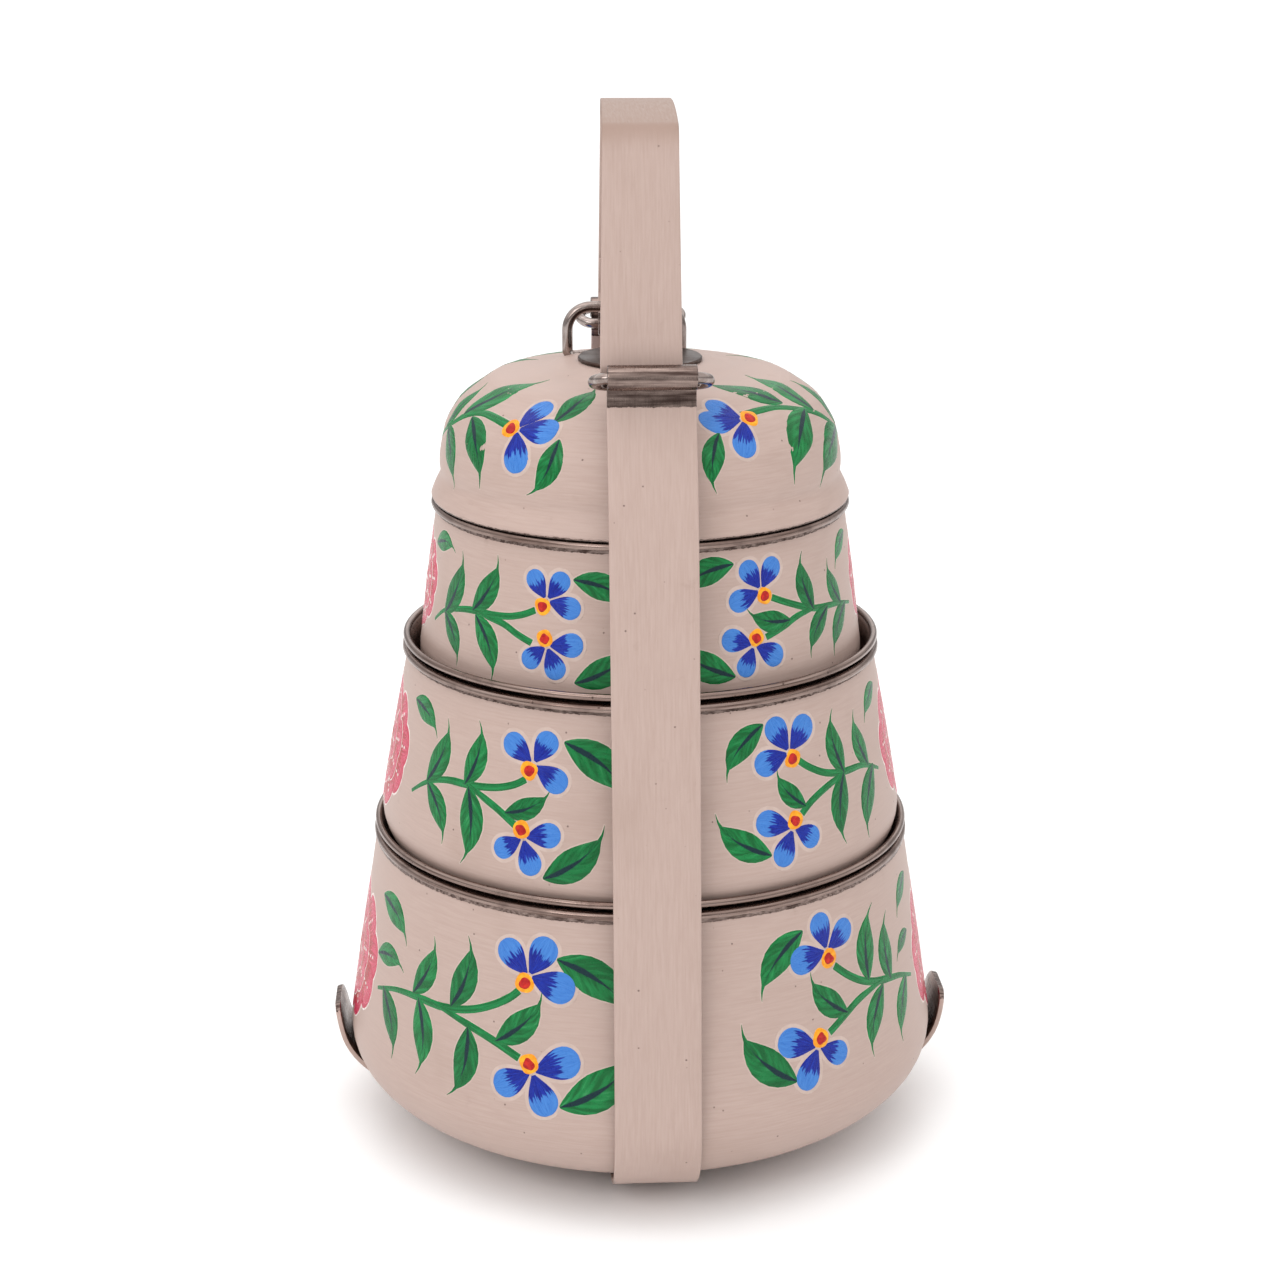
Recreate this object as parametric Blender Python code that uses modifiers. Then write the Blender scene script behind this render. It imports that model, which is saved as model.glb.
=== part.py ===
"""Three-tier pyramid tiffin carrier: painted steel bowls, inner covers, lid and a strap carrier.

Metres, +Z up. The origin is at the centre of the long strap's underside. The long strap's uprights
stand at -Y (front) and +Y (back), and the short strap's ears at -X (left) and +X (right).
Outlines are lists of (distance from the vertical axis, height).
"""
from math import cos, hypot, pi, radians, sin

import bmesh
import bpy
from mathutils import Vector

# Turned shells
TURN_STEPS = 40
SHEET = 0.0010
COVER_SHEET = 0.0006
BEAD_RADIUS = 0.0011
RIM_RADIUS = 0.00095
CLEARANCE = 0.0003

# Tiers: bead centre, wall top, start of the rounded foot, flat radius and floor height
BOTTOM_TIER = dict(bead=(0.0712, 0.0814), wall_top=(0.0716, 0.0806), foot=(0.0799, 0.0286),
                   flat=0.042, floor=0.0036, pull=(0.0180, 0.0162))
MIDDLE_TIER = dict(bead=(0.0624, 0.1326), wall_top=(0.0621, 0.1318), foot=(0.0696, 0.0915),
                   flat=0.036, floor=0.0660, pull=(0.0150, 0.0145))
TOP_TIER = dict(bead=(0.0539, 0.1715), wall_top=(0.0537, 0.1707), foot=(0.0587, 0.1340),
                flat=0.030, floor=0.1136, pull=(0.0130, 0.0125))

# Inner covers: neck radius inside the bead of the bowl below, and the rim's height over that bead
COVER_NECK_GAP = 0.0003
COVER_RIM_RISE = 0.0030
COVER_RIM_INSET = 0.0001
COVER_FOOT_GAP = 0.0005

# Lid: outer outline from the boss down to the skirt, lip that drops into the top bowl
LID_BOSS = [(0.0, 0.2081), (0.0165, 0.2081), (0.0205, 0.2076), (0.0245, 0.2066)]
LID_DOME = [(0.0366, 0.2049), (0.0421, 0.2020), (0.0467, 0.1986), (0.0490, 0.1954), (0.0508, 0.1922),
            (0.0516, 0.1890), (0.0524, 0.1850), (0.0526, 0.1820)]
LID_SKIRT = [(0.0525, 0.1793), (0.0540, 0.1761), (0.0549, 0.1738), (0.0546, 0.1730)]
LID_LIP_RADIUS = 0.0524
LID_LIP_BOTTOM = 0.1660

# Disc plate on the boss and the wire bail whose lower bar runs in a channel under the disc; the
# channel is wider at the back, where the bail folds
DISC_RADIUS = 0.0162
DISC_THICKNESS = 0.0008
BAIL_PIVOT = (0.0142, 0.2067)
BAIL_SHIFT = -0.0034
BAIL_HALF_WIDTH = 0.0151
BAIL_HEIGHT = 0.0131
BAIL_CORNER = 0.0062
BAIL_FOOT_CORNER = 0.0018
CHANNEL_FRONT = 0.0018
CHANNEL_BACK = 0.0032
CHANNEL_WALL = 0.0009

# Wire of the bail and of the links
WIRE_RADIUS = 0.0014

# Straps
STRAP_WIDTH = 0.022
STRAP_THICKNESS = 0.0014
STRAP_SEGMENTS_ACROSS = 4
STRAP_FLAT = 0.042
STRAP_CORNER = (0.0814, 0.0280)
STRAP_CORNER_PULL = (0.0175, 0.0165)
STRAP_SPLIT = 0.55
UPRIGHT = [(0.0753, 0.0856), (0.0673, 0.1370), (0.0593, 0.1775), (0.0514, 0.2007), (0.0499, 0.2070)]
BARREL = (0.0520, 0.2132)
BARREL_RADIUS = 0.00245
BARREL_LIP = -62.0
RIVET_RADIUS = 0.0017
RIVET_OFFSET = 0.0052

# Short strap
CROSS_RISE = STRAP_THICKNESS + CLEARANCE
CROSS_CORNER = (0.0822, 0.0240)
EAR_TOP = (0.0838, 0.0310)
EAR_ROUNDING = 0.006

# Oval links round the tops of the uprights
LINK_SPACING = 0.0080
LINK_STRAIGHT = 0.0100
LINK_TILT = 22.5

# Handle band: outer corner, crown and legs whose ends fold up inside round the links
HANDLE_TOP_WIDTH = 0.0186
HANDLE_FOOT_WIDTH = 0.0200
HANDLE_THICKNESS = 0.0013
HANDLE_CROWN = 0.2733
HANDLE_SHOULDER = (0.0390, 0.2650)
HANDLE_SHOULDER_RADIUS = 0.0065
HANDLE_LEG_FOOT = 0.0453
HANDLE_TWIST = -2.0
HANDLE_SHIFT = -0.0007
FOLD_TOP = 0.2285
FOLD_PINCH = 0.2190
EYE_RADIUS = 0.0027

COLLECTION = "tiffin_carrier"


# ---------------------------------------------------------------- outlines
def bezier(start, pull_start, pull_end, end, count):
    """Points of a cubic curve, both ends included."""
    points = []
    for step in range(count + 1):
        t = step / count
        weights = ((1 - t) ** 3, 3 * t * (1 - t) ** 2, 3 * t * t * (1 - t), t ** 3)
        corners = (start, pull_start, pull_end, end)
        points.append(tuple(sum(w * c[axis] for w, c in zip(weights, corners)) for axis in (0, 1)))
    return points


def arc(centre, radius, first, last, count):
    """Points of a circular arc between two angles in degrees."""
    points = []
    for step in range(count + 1):
        angle = radians(first + (last - first) * step / count)
        points.append((centre[0] + radius * cos(angle), centre[1] + radius * sin(angle)))
    return points


def spline(points, per_span):
    """Smooth curve through the points (Catmull-Rom), ends repeated."""
    padded = [points[0]] + list(points) + [points[-1]]
    result = []
    for before, start, end, after in zip(padded, padded[1:], padded[2:], padded[3:]):
        pull_start = tuple(s + (e - b) / 6 for s, e, b in zip(start, end, before))
        pull_end = tuple(e - (a - s) / 6 for e, a, s in zip(end, after, start))
        result += bezier(start, pull_start, pull_end, end, per_span)[:-1]
    return result + [tuple(points[-1])]


def offset(path, distance):
    """The path moved sideways to the right of its direction."""
    moved = []
    for index, point in enumerate(path):
        before = path[max(index - 1, 0)]
        after = path[min(index + 1, len(path) - 1)]
        along = (after[0] - before[0], after[1] - before[1])
        size = hypot(*along)
        moved.append((point[0] + along[1] / size * distance, point[1] - along[0] / size * distance))
    return moved


def below(path, height):
    """The stretch of a path that lies below a height."""
    return [point for point in path if point[1] < height]


# ---------------------------------------------------------------- objects
def material(name, colour, roughness, metallic):
    made = bpy.data.materials.new(name)
    made.use_nodes = True
    shader = made.node_tree.nodes["Principled BSDF"]
    shader.inputs["Base Color"].default_value = (*colour, 1.0)
    shader.inputs["Roughness"].default_value = roughness
    shader.inputs["Metallic"].default_value = metallic
    return made


def add_object(name, data, finish, collection, location=(0, 0, 0), turn=0.0):
    made = bpy.data.objects.new(name, data)
    made.location = location
    made.rotation_euler = (0, 0, turn)
    if finish:
        data.materials.append(finish)
    collection.objects.link(made)
    return made


def turned(name, outline, finish, parts):
    """Solid of revolution of an outline that starts and ends on the axis."""
    mesh = bpy.data.meshes.new(name)
    edges = [(index, index + 1) for index in range(len(outline) - 1)]
    mesh.from_pydata([(radius, 0, height) for radius, height in outline], edges, [])
    made = add_object(name, mesh, finish, parts)
    screw = made.modifiers.new("turn", "SCREW")
    screw.steps = TURN_STEPS
    screw.render_steps = TURN_STEPS
    screw.use_merge_vertices = True
    screw.merge_threshold = 0.00001
    screw.use_smooth_shade = True
    return made


def ribbon(name, path, finish, parts, half_width, thickness, pivot=(0, 0), place=(0, 0, 0), turn=0.0,
           across=STRAP_SEGMENTS_ACROSS):
    """Strap along a path: an open surface, +Y outward, given its thickness by Solidify."""
    shape = bmesh.new()
    spans = len(path) - 1
    bmesh.ops.create_grid(shape, x_segments=spans, y_segments=across, size=0.5)
    for vertex in shape.verts:
        index = round((vertex.co.x + 0.5) * spans)
        outward, height = path[index]
        sideways = 2 * vertex.co.y * half_width(index / spans)
        vertex.co = Vector((sideways, outward - pivot[0], height - pivot[1]))
    mesh = bpy.data.meshes.new(name)
    shape.to_mesh(mesh)
    shape.free()
    made = add_object(name, mesh, finish, parts, place, turn)
    solidify = made.modifiers.new("thickness", "SOLIDIFY")
    solidify.thickness = thickness
    solidify.offset = 0
    solidify.use_even_offset = True
    return made


def wire(name, points, finish, parts, location=(0, 0, 0), turn=0.0):
    """Closed loop of round wire."""
    curve = bpy.data.curves.new(name, "CURVE")
    curve.dimensions = "3D"
    curve.bevel_depth = WIRE_RADIUS
    curve.bevel_resolution = 2
    run = curve.splines.new("POLY")
    run.points.add(len(points) - 1)
    for point, place in zip(run.points, points):
        point.co = (*place, 1)
    run.use_cyclic_u = True
    return add_object(name, curve, finish, parts, location, turn)


def cutter_box(name, low, high, cutters):
    shape = bmesh.new()
    bmesh.ops.create_cube(shape, size=1.0)
    for vertex in shape.verts:
        vertex.co = Vector([l + (c + 0.5) * (h - l) for c, l, h in zip(vertex.co, low, high)])
    return guide(name, shape, cutters)


def cutter_cylinder(name, centre, radius, depth, cutters):
    shape = bmesh.new()
    bmesh.ops.create_cone(shape, cap_ends=True, segments=16, radius1=radius, radius2=radius, depth=depth)
    bmesh.ops.translate(shape, verts=shape.verts, vec=centre)
    return guide(name, shape, cutters)


def guide(name, shape, cutters):
    mesh = bpy.data.meshes.new(name)
    shape.to_mesh(mesh)
    shape.free()
    made = add_object(name, mesh, None, cutters)
    made.hide_render = True
    made.display_type = "WIRE"
    return made


def boolean(target, tool, operation):
    step = target.modifiers.new(tool.name, "BOOLEAN")
    step.operation = operation
    step.object = tool


# ---------------------------------------------------------------- tiers
def tier_outside(tier, foot_points=6):
    """Outer outline of a bowl from under its bead, down the wall and round the foot to the axis."""
    top, foot = tier["wall_top"], tier["foot"]
    wall_pull, floor_pull = tier["pull"]
    lean = Vector((foot[0] - top[0], foot[1] - top[1])).normalized()
    start = (foot[0] + lean.x * wall_pull, foot[1] + lean.y * wall_pull)
    flat = (tier["flat"], tier["floor"])
    corner = bezier(foot, start, (flat[0] + floor_pull, flat[1]), flat, foot_points)
    return [top] + corner + [(0.0, tier["floor"])]


def bowl(name, tier, finish, parts):
    outside = tier_outside(tier)
    inside = offset(outside, SHEET)[::-1]
    inside[0] = (0.0, tier["floor"] + SHEET)
    bead = arc(tier["bead"], BEAD_RADIUS, 190, -35, 7)
    return turned(name, inside + bead + outside, finish, parts)


def cover(name, below_tier, above_tier, finish, parts):
    """Dish between two bowls: it drops inside the lower bead and holds the upper bowl's foot."""
    neck = below_tier["bead"][0] - BEAD_RADIUS - COVER_NECK_GAP
    bead_top = below_tier["bead"][1] + BEAD_RADIUS
    rim = (below_tier["bead"][0] - COVER_RIM_INSET, below_tier["bead"][1] + COVER_RIM_RISE)
    foot = tier_outside(above_tier)
    inner_gap = offset(foot, -COVER_FOOT_GAP)
    inside = [point for point in inner_gap if point[0] < neck - COVER_SHEET - 0.0004]
    inside = below(inside, bead_top - 0.004)[::-1]
    inside[0] = (0.0, above_tier["floor"] - COVER_FOOT_GAP)
    outside = offset(inside[::-1], -COVER_SHEET)
    outside[-1] = (0.0, inside[0][1] - COVER_SHEET)
    throat = [(neck - COVER_SHEET, bead_top - 0.0025), (neck - COVER_SHEET, bead_top + 0.0003)]
    ring = arc(rim, RIM_RADIUS, 195, -80, 7)
    seat = [(neck + 0.0008, bead_top + CLEARANCE), (neck, bead_top + CLEARANCE), (neck, bead_top - 0.0025)]
    return turned(name, inside + throat + ring + seat + outside, finish, parts)


def lid(finish, parts, cutters):
    outer = LID_BOSS + LID_DOME + LID_SKIRT
    inner_shell = offset(LID_BOSS + LID_DOME + LID_SKIRT[:1], SHEET)
    inner_shell[0] = (0.0, LID_BOSS[0][1] - SHEET)
    lip = LID_LIP_RADIUS
    foot = [(lip, LID_SKIRT[-1][1]), (lip, LID_LIP_BOTTOM), (lip - SHEET, LID_LIP_BOTTOM),
            (lip - SHEET, LID_SKIRT[0][1] - 0.0030)]
    made = turned("lid", outer + foot + inner_shell[::-1], finish, parts)
    left = BAIL_SHIFT - BAIL_HALF_WIDTH - 0.0021
    right = BAIL_SHIFT + BAIL_HALF_WIDTH + 0.0021
    y, z = BAIL_PIVOT
    front, back, wall = y - CHANNEL_FRONT, y + CHANNEL_BACK, CHANNEL_WALL
    floor = z - CHANNEL_FRONT
    trough = cutter_box("lid_trough", (left - wall, front - wall, floor - wall),
                        (right + wall, back + wall, z + 0.0002), cutters)
    channel = cutter_box("lid_channel", (left, front, floor), (right, back, z + 0.0060), cutters)
    boolean(made, trough, "UNION")
    boolean(made, channel, "DIFFERENCE")
    return made


def lid_disc(finish, parts):
    base = LID_BOSS[0][1] + CLEARANCE
    top = base + DISC_THICKNESS
    edge = 0.0003
    outline = [(0.0, top), (DISC_RADIUS - edge, top), (DISC_RADIUS, top - edge), (DISC_RADIUS, base),
               (0.0, base)]
    return turned("lid_disc", outline, finish, parts)


def lid_bail(finish, parts):
    """Standing wire loop; its origin is on the axis of its lower bar."""
    width, height = BAIL_HALF_WIDTH, BAIL_HEIGHT
    low, high = BAIL_FOOT_CORNER, BAIL_CORNER
    loop = arc((width - low, low), low, -90, 0, 3)
    loop += arc((width - high, height - high), high, 0, 90, 5)
    loop += arc((high - width, height - high), high, 90, 180, 5)
    loop += arc((low - width, low), low, 180, 270, 3)
    points = [(across, 0.0, up) for across, up in loop]
    return wire("lid_bail", points, finish, parts, (BAIL_SHIFT, *BAIL_PIVOT))


# ---------------------------------------------------------------- carrier
def strap_corner():
    """Centre line of the long strap from its flat run round the bottom bowl's foot."""
    middle = STRAP_THICKNESS / 2
    lean = Vector((STRAP_CORNER[0] - UPRIGHT[0][0], STRAP_CORNER[1] - UPRIGHT[0][1])).normalized()
    wall_pull, floor_pull = STRAP_CORNER_PULL
    start = (STRAP_FLAT, middle)
    end_pull = (STRAP_CORNER[0] + lean.x * wall_pull, STRAP_CORNER[1] + lean.y * wall_pull)
    return bezier(start, (STRAP_FLAT + floor_pull, middle), end_pull, STRAP_CORNER, 10)


def split_corner():
    """The corner's points below and above the hinge line, which keeps a clearance on each side."""
    corner = strap_corner()
    cut = round(len(corner) * STRAP_SPLIT)
    hinge = corner[cut]
    before = Vector(corner[cut - 1])
    after = Vector(corner[cut + 1])
    along = (after - before).normalized() * CLEARANCE
    lower = corner[:cut] + [(hinge[0] - along.x / 2, hinge[1] - along.y / 2)]
    upper = [(hinge[0] + along.x / 2, hinge[1] + along.y / 2)] + corner[cut + 1:]
    return lower, upper, hinge


def base_strap(finish, parts):
    lower = split_corner()[0]
    path = [(-outward, height) for outward, height in reversed(lower)] + lower
    return ribbon("base_strap", path, finish, parts, lambda place: STRAP_WIDTH / 2, STRAP_THICKNESS)


def upright(name, side, finish, parts):
    """Side is -1 for the front and +1 for the back; the origin is on the hinge line at the bend."""
    _, upper, hinge = split_corner()
    rise = spline([STRAP_CORNER] + UPRIGHT, 2)
    roll = arc(BARREL, BARREL_RADIUS, 180, BARREL_LIP, 12)
    path = upper[:-1] + rise + roll
    turn = 0.0 if side > 0 else pi
    return ribbon(name, path, finish, parts, lambda place: STRAP_WIDTH / 2, STRAP_THICKNESS,
                  pivot=hinge, place=(0, side * hinge[0], hinge[1]), turn=turn)


def cross_strap(finish, parts):
    """Short strap over the long one, its ends turned up as ears with rounded tops."""
    middle = CROSS_RISE + STRAP_THICKNESS / 2
    lean = Vector((EAR_TOP[0] - CROSS_CORNER[0], EAR_TOP[1] - CROSS_CORNER[1])).normalized()
    end_pull = (CROSS_CORNER[0] - lean.x * 0.0150, CROSS_CORNER[1] - lean.y * 0.0150)
    corner = bezier((STRAP_FLAT - 0.004, middle), (STRAP_FLAT + 0.0145, middle - 0.0008), end_pull,
                    CROSS_CORNER, 9)
    ends = 4
    ear = []
    for step in range(1, ends + 1):
        share = 1 - (1 - step / ends) ** 2
        ear.append(tuple(a + (b - a) * share for a, b in zip(CROSS_CORNER, EAR_TOP)))
    half = corner + ear
    path = [(-outward, height) for outward, height in reversed(half)] + half
    lengths = [0.0]
    for start, end in zip(path, path[1:]):
        lengths.append(lengths[-1] + hypot(end[0] - start[0], end[1] - start[1]))

    def half_width(place):
        index = round(place * (len(path) - 1))
        from_end = min(lengths[index], lengths[-1] - lengths[index])
        missing = max(0.0, EAR_ROUNDING - from_end)
        return STRAP_WIDTH / 2 - EAR_ROUNDING + (EAR_ROUNDING ** 2 - missing ** 2) ** 0.5

    return ribbon("cross_strap", path, finish, parts, half_width, STRAP_THICKNESS, turn=pi / 2)


def base_rivet(name, x, y, finish, parts):
    shape = bmesh.new()
    bottom, top = 0.0001, CROSS_RISE + STRAP_THICKNESS - 0.0001
    bmesh.ops.create_cone(shape, cap_ends=True, segments=20, radius1=RIVET_RADIUS, radius2=RIVET_RADIUS,
                          depth=top - bottom)
    mesh = bpy.data.meshes.new(name)
    shape.to_mesh(mesh)
    shape.free()
    return add_object(name, mesh, finish, parts, (x, y, (top + bottom) / 2))


def link(name, side, finish, parts):
    """Oval wire link; its outer bar lies in the barrel, where its origin is."""
    half = LINK_SPACING / 2
    outline = arc((LINK_STRAIGHT, 0), half, -90, 90, 8) + arc((-LINK_STRAIGHT, 0), half, 90, 270, 8)
    tilt = radians(LINK_TILT)
    points = [(x, (y - half) * cos(tilt), (y - half) * sin(tilt)) for x, y in outline]
    turn = 0.0 if side > 0 else pi
    return wire(name, points, finish, parts, (0, side * BARREL[0], BARREL[1]), turn)


# ---------------------------------------------------------------- handle
def link_inner_bar():
    """Centre of a link's inner bar, where a leg of the handle is held."""
    tilt = radians(LINK_TILT)
    return (BARREL[0] - LINK_SPACING * cos(tilt), BARREL[1] - LINK_SPACING * sin(tilt))


def leg_outline(eye):
    """Centre line from the crown's corner down one leg, round the eye and up its folded end."""
    shoulder = (HANDLE_SHOULDER[0] - HANDLE_SHOULDER_RADIUS, HANDLE_SHOULDER[1])
    corner = arc(shoulder, HANDLE_SHOULDER_RADIUS, 84, 4, 5)
    eye_arc = arc(eye, EYE_RADIUS, 8, -188, 9)
    inner_leg = HANDLE_LEG_FOOT - HANDLE_THICKNESS - 0.0007
    leg = [corner[-1], (HANDLE_LEG_FOOT - 0.0028, 0.2400), (HANDLE_LEG_FOOT, FOLD_PINCH + 0.0030)]
    fold = [(inner_leg, FOLD_PINCH), (inner_leg - 0.0018, FOLD_PINCH + 0.0045),
            (HANDLE_LEG_FOOT - HANDLE_THICKNESS - 0.0028, FOLD_TOP)]
    return corner[:-1] + spline(leg, 4) + eye_arc + spline(fold, 3)


def handle_band(finish, parts):
    """Inverted U; the back end wraps its link's inner bar, the front end stops just above it."""
    bar = link_inner_bar()
    back = leg_outline(bar)
    open_rise = WIRE_RADIUS + CLEARANCE + EYE_RADIUS + HANDLE_THICKNESS / 2
    front = [(-outward, height) for outward, height in leg_outline((bar[0], bar[1] + open_rise))]
    edge = back[0]
    crown = [(edge[0] * share, HANDLE_CROWN - (HANDLE_CROWN - edge[1]) * share ** 2)
             for share in (-0.75, -0.5, -0.25, 0.0, 0.25, 0.5, 0.75)]
    path = front[::-1] + crown + back
    widths = [HANDLE_TOP_WIDTH / 2, HANDLE_FOOT_WIDTH / 2]
    pivot = BARREL

    def half_width(place):
        height = path[round(place * (len(path) - 1))][1]
        share = min(1.0, max(0.0, (HANDLE_SHOULDER[1] - height) / (HANDLE_SHOULDER[1] - FOLD_PINCH)))
        return widths[0] + (widths[1] - widths[0]) * share

    made = ribbon("handle_band", path, finish, parts, half_width, HANDLE_THICKNESS, across=2)
    twist = radians(HANDLE_TWIST)
    for vertex in made.data.vertices:
        x, y, z = vertex.co
        turned_x = x * cos(twist) - y * sin(twist) + HANDLE_SHIFT
        turned_y = x * sin(twist) + y * cos(twist)
        vertex.co = (turned_x, turned_y - pivot[0], z - pivot[1])
    made.location = (0, *pivot)
    return made


# ---------------------------------------------------------------- assembly
def main():
    for old in list(bpy.data.objects):
        bpy.data.objects.remove(old)
    parts = bpy.data.collections.new(COLLECTION)
    cutters = bpy.data.collections.new("cutters")
    for collection in (parts, cutters):
        bpy.context.scene.collection.children.link(collection)

    paint = material("cream_paint", (0.62, 0.50, 0.43), 0.42, 0.0)
    strap_paint = material("strap_paint", (0.60, 0.48, 0.41), 0.42, 0.0)
    steel = material("bare_steel", (0.36, 0.31, 0.28), 0.32, 1.0)
    wire_steel = material("wire_steel", (0.42, 0.37, 0.34), 0.25, 1.0)

    long_strap = base_strap(strap_paint, parts)
    short_strap = cross_strap(strap_paint, parts)
    for name, side in (("base_rivet_left", -1), ("base_rivet_right", 1)):
        x, y = side * RIVET_OFFSET, side * RIVET_OFFSET
        hole = cutter_cylinder(name + "_hole", (x, y, 0.002), RIVET_RADIUS + CLEARANCE, 0.010, cutters)
        boolean(long_strap, hole, "DIFFERENCE")
        boolean(short_strap, hole, "DIFFERENCE")
        base_rivet(name, x, y, steel, parts)

    bowl("bottom_bowl", BOTTOM_TIER, paint, parts)
    cover("lower_cover", BOTTOM_TIER, MIDDLE_TIER, steel, parts)
    bowl("middle_bowl", MIDDLE_TIER, paint, parts)
    cover("upper_cover", MIDDLE_TIER, TOP_TIER, steel, parts)
    bowl("top_bowl", TOP_TIER, paint, parts)
    lid(paint, parts, cutters)
    lid_disc(steel, parts)
    lid_bail(wire_steel, parts)

    for name, side in (("front", -1), ("back", 1)):
        upright(name + "_upright", side, strap_paint, parts)
        link(name + "_link", side, wire_steel, parts)
    handle_band(strap_paint, parts)


main()
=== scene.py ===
"""Looks of the three-tier painted tiffin carrier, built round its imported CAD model.

Metres, +Z up, in the CAD's frame: the front strap stands at -Y and the side ears at -X and +X.
Outlines are lists of (distance from the vertical axis, height). Painted motifs are placed by
(angle from the front strap in degrees, positive towards +X; height in mm), and their shapes are
in mm on the wall. Shapes of painted strokes are thin raised patches that follow the wall.
"""

import random
from math import cos, hypot, pi, radians, sin, sqrt

import bpy
import numpy as np
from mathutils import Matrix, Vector


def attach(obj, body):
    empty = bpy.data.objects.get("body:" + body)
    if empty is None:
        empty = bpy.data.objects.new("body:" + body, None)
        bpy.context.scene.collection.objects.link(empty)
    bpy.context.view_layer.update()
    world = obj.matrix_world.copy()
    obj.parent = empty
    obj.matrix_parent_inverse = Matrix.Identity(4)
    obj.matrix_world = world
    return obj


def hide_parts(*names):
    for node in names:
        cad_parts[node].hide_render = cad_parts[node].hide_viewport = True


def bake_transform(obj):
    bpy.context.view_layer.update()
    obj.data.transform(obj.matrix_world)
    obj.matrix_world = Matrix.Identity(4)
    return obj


MM = 0.001
SEED = 7

# Turned shells: creases are in degrees, and an edge that is sharper stays a hard edge
TURN_STEPS = 192
FOOT_STEPS = 18
SHELL_CREASE = 38
STRIP_CREASE = 50
SHEET = 0.0010
COVER_SHEET = 0.0006
BEAD_RADIUS = 0.0011
RIM_RADIUS = 0.00095
CLEARANCE = 0.0003
TIERS = {
    "bottom_bowl": dict(bead=(0.0712, 0.0814), wall_top=(0.0716, 0.0806), foot=(0.0799, 0.0286),
                        flat=0.042, floor=0.0036, pull=(0.0180, 0.0162)),
    "middle_bowl": dict(bead=(0.0624, 0.1326), wall_top=(0.0621, 0.1318), foot=(0.0696, 0.0915),
                        flat=0.036, floor=0.0660, pull=(0.0150, 0.0145)),
    "top_bowl": dict(bead=(0.0539, 0.1715), wall_top=(0.0537, 0.1707), foot=(0.0587, 0.1340),
                     flat=0.030, floor=0.1136, pull=(0.0130, 0.0125)),
}
COVER_NECK_GAP = 0.0003
COVER_RIM_RISE = 0.0030
COVER_RIM_INSET = 0.0001
COVER_FOOT_GAP = 0.0005
COVER_THROAT_DEPTH = 0.0025
PAINT_LINE_DROP = 0.0009
LID_BOSS = [(0.0, 0.2081), (0.0165, 0.2081), (0.0205, 0.2076), (0.0245, 0.2066)]
LID_DOME = [(0.0366, 0.2049), (0.0421, 0.2020), (0.0467, 0.1986), (0.0490, 0.1954), (0.0508, 0.1922),
            (0.0516, 0.1890), (0.0524, 0.1850), (0.0526, 0.1820)]
LID_SKIRT = [(0.0525, 0.1793), (0.0540, 0.1761), (0.0549, 0.1738), (0.0546, 0.1730)]
LID_LIP_RADIUS = 0.0524
LID_LIP_BOTTOM = 0.1660
BAIL_PIVOT = (0.0142, 0.2067)
BAIL_SHIFT = -0.0034
BAIL_HALF_WIDTH = 0.0151
BAIL_HEIGHT = 0.0131
BAIL_CORNER = 0.0062
BAIL_FOOT_CORNER = 0.0018
WIRE_RADIUS = 0.0014
WIRE_SIDES = 20

# Straps
STRAP_WIDTH = 0.022
STRAP_THICKNESS = 0.0014
STRAP_FLAT = 0.042
STRAP_CORNER = (0.0814, 0.0280)
STRAP_CORNER_PULL = (0.0175, 0.0165)
STRAP_CORNER_STEPS = 26
STRAP_BEVEL = 0.00035
STRAP_COLUMNS = 6
STRAP_WAVER = 0.00008
STRAP_WAVER_PLACES = 9
UPRIGHT = [(0.0753, 0.0856), (0.0673, 0.1370), (0.0593, 0.1775), (0.0514, 0.2007), (0.0499, 0.2070)]
BARREL = (0.0520, 0.2132)
BARREL_RADIUS = 0.00245
BARREL_LIP = -62.0
CROSS_RISE = STRAP_THICKNESS + CLEARANCE
CROSS_CORNER = (0.0822, 0.0240)
EAR_TOP = (0.0838, 0.0310)
EAR_ROUNDING = 0.006
LINK_SPACING = 0.0080
LINK_STRAIGHT = 0.0100
LINK_TILT = 22.5
HANDLE_TOP_WIDTH = 0.0186
HANDLE_FOOT_WIDTH = 0.0200
HANDLE_THICKNESS = 0.0013
HANDLE_CROWN = 0.2733
HANDLE_SHOULDER = (0.0390, 0.2650)
HANDLE_SHOULDER_RADIUS = 0.0065
HANDLE_LEG_FOOT = 0.0453
HANDLE_TWIST = -2.0
HANDLE_SHIFT = -0.0007
FOLD_TOP = 0.2285
FOLD_PINCH = 0.2190
EYE_RADIUS = 0.0027

# Painted patches: the depth of their sunk edges, and how high each colour stands on the wall
EDGE_DEPTH = 0.00004
HALO_LIFT = {"stem": 0.00002, "leaf": 0.00003, "petal": 0.00005}
LIFT = {"stem": 0.00006, "leaf": 0.00008, "petal": 0.00010, "amber": 0.00013, "ruby": 0.00018}
CARNATION_LAYERS = ((11, 1.00, 0.42, 0.00006), (9, 0.72, 0.26, 0.00011), (6, 0.44, 0.06, 0.00016))
CARNATION_HEART_LIFT = 0.00024
OVER_OUTLINE = 0.00003
LEAF_WIDTH = 0.228
LEAF_BOWS = ((-0.07, -0.01), (0.2, 0.05), (0.5, 0.07), (0.74, 0.035), (0.9, -0.02), (1.03, -0.13))
STEM_WIDTH = 1.12

# Camera: place, tilt below level, turn to the right, and lens on a 36 mm sensor
CAMERA_PLACE = (-0.0374, -0.6681, 0.3310)
CAMERA_TILT = 16.557
CAMERA_TURN = -3.2
CAMERA_LENS = 73.17

# The floor lies just under the strap's lowest face
FLOOR = -0.0001

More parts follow.
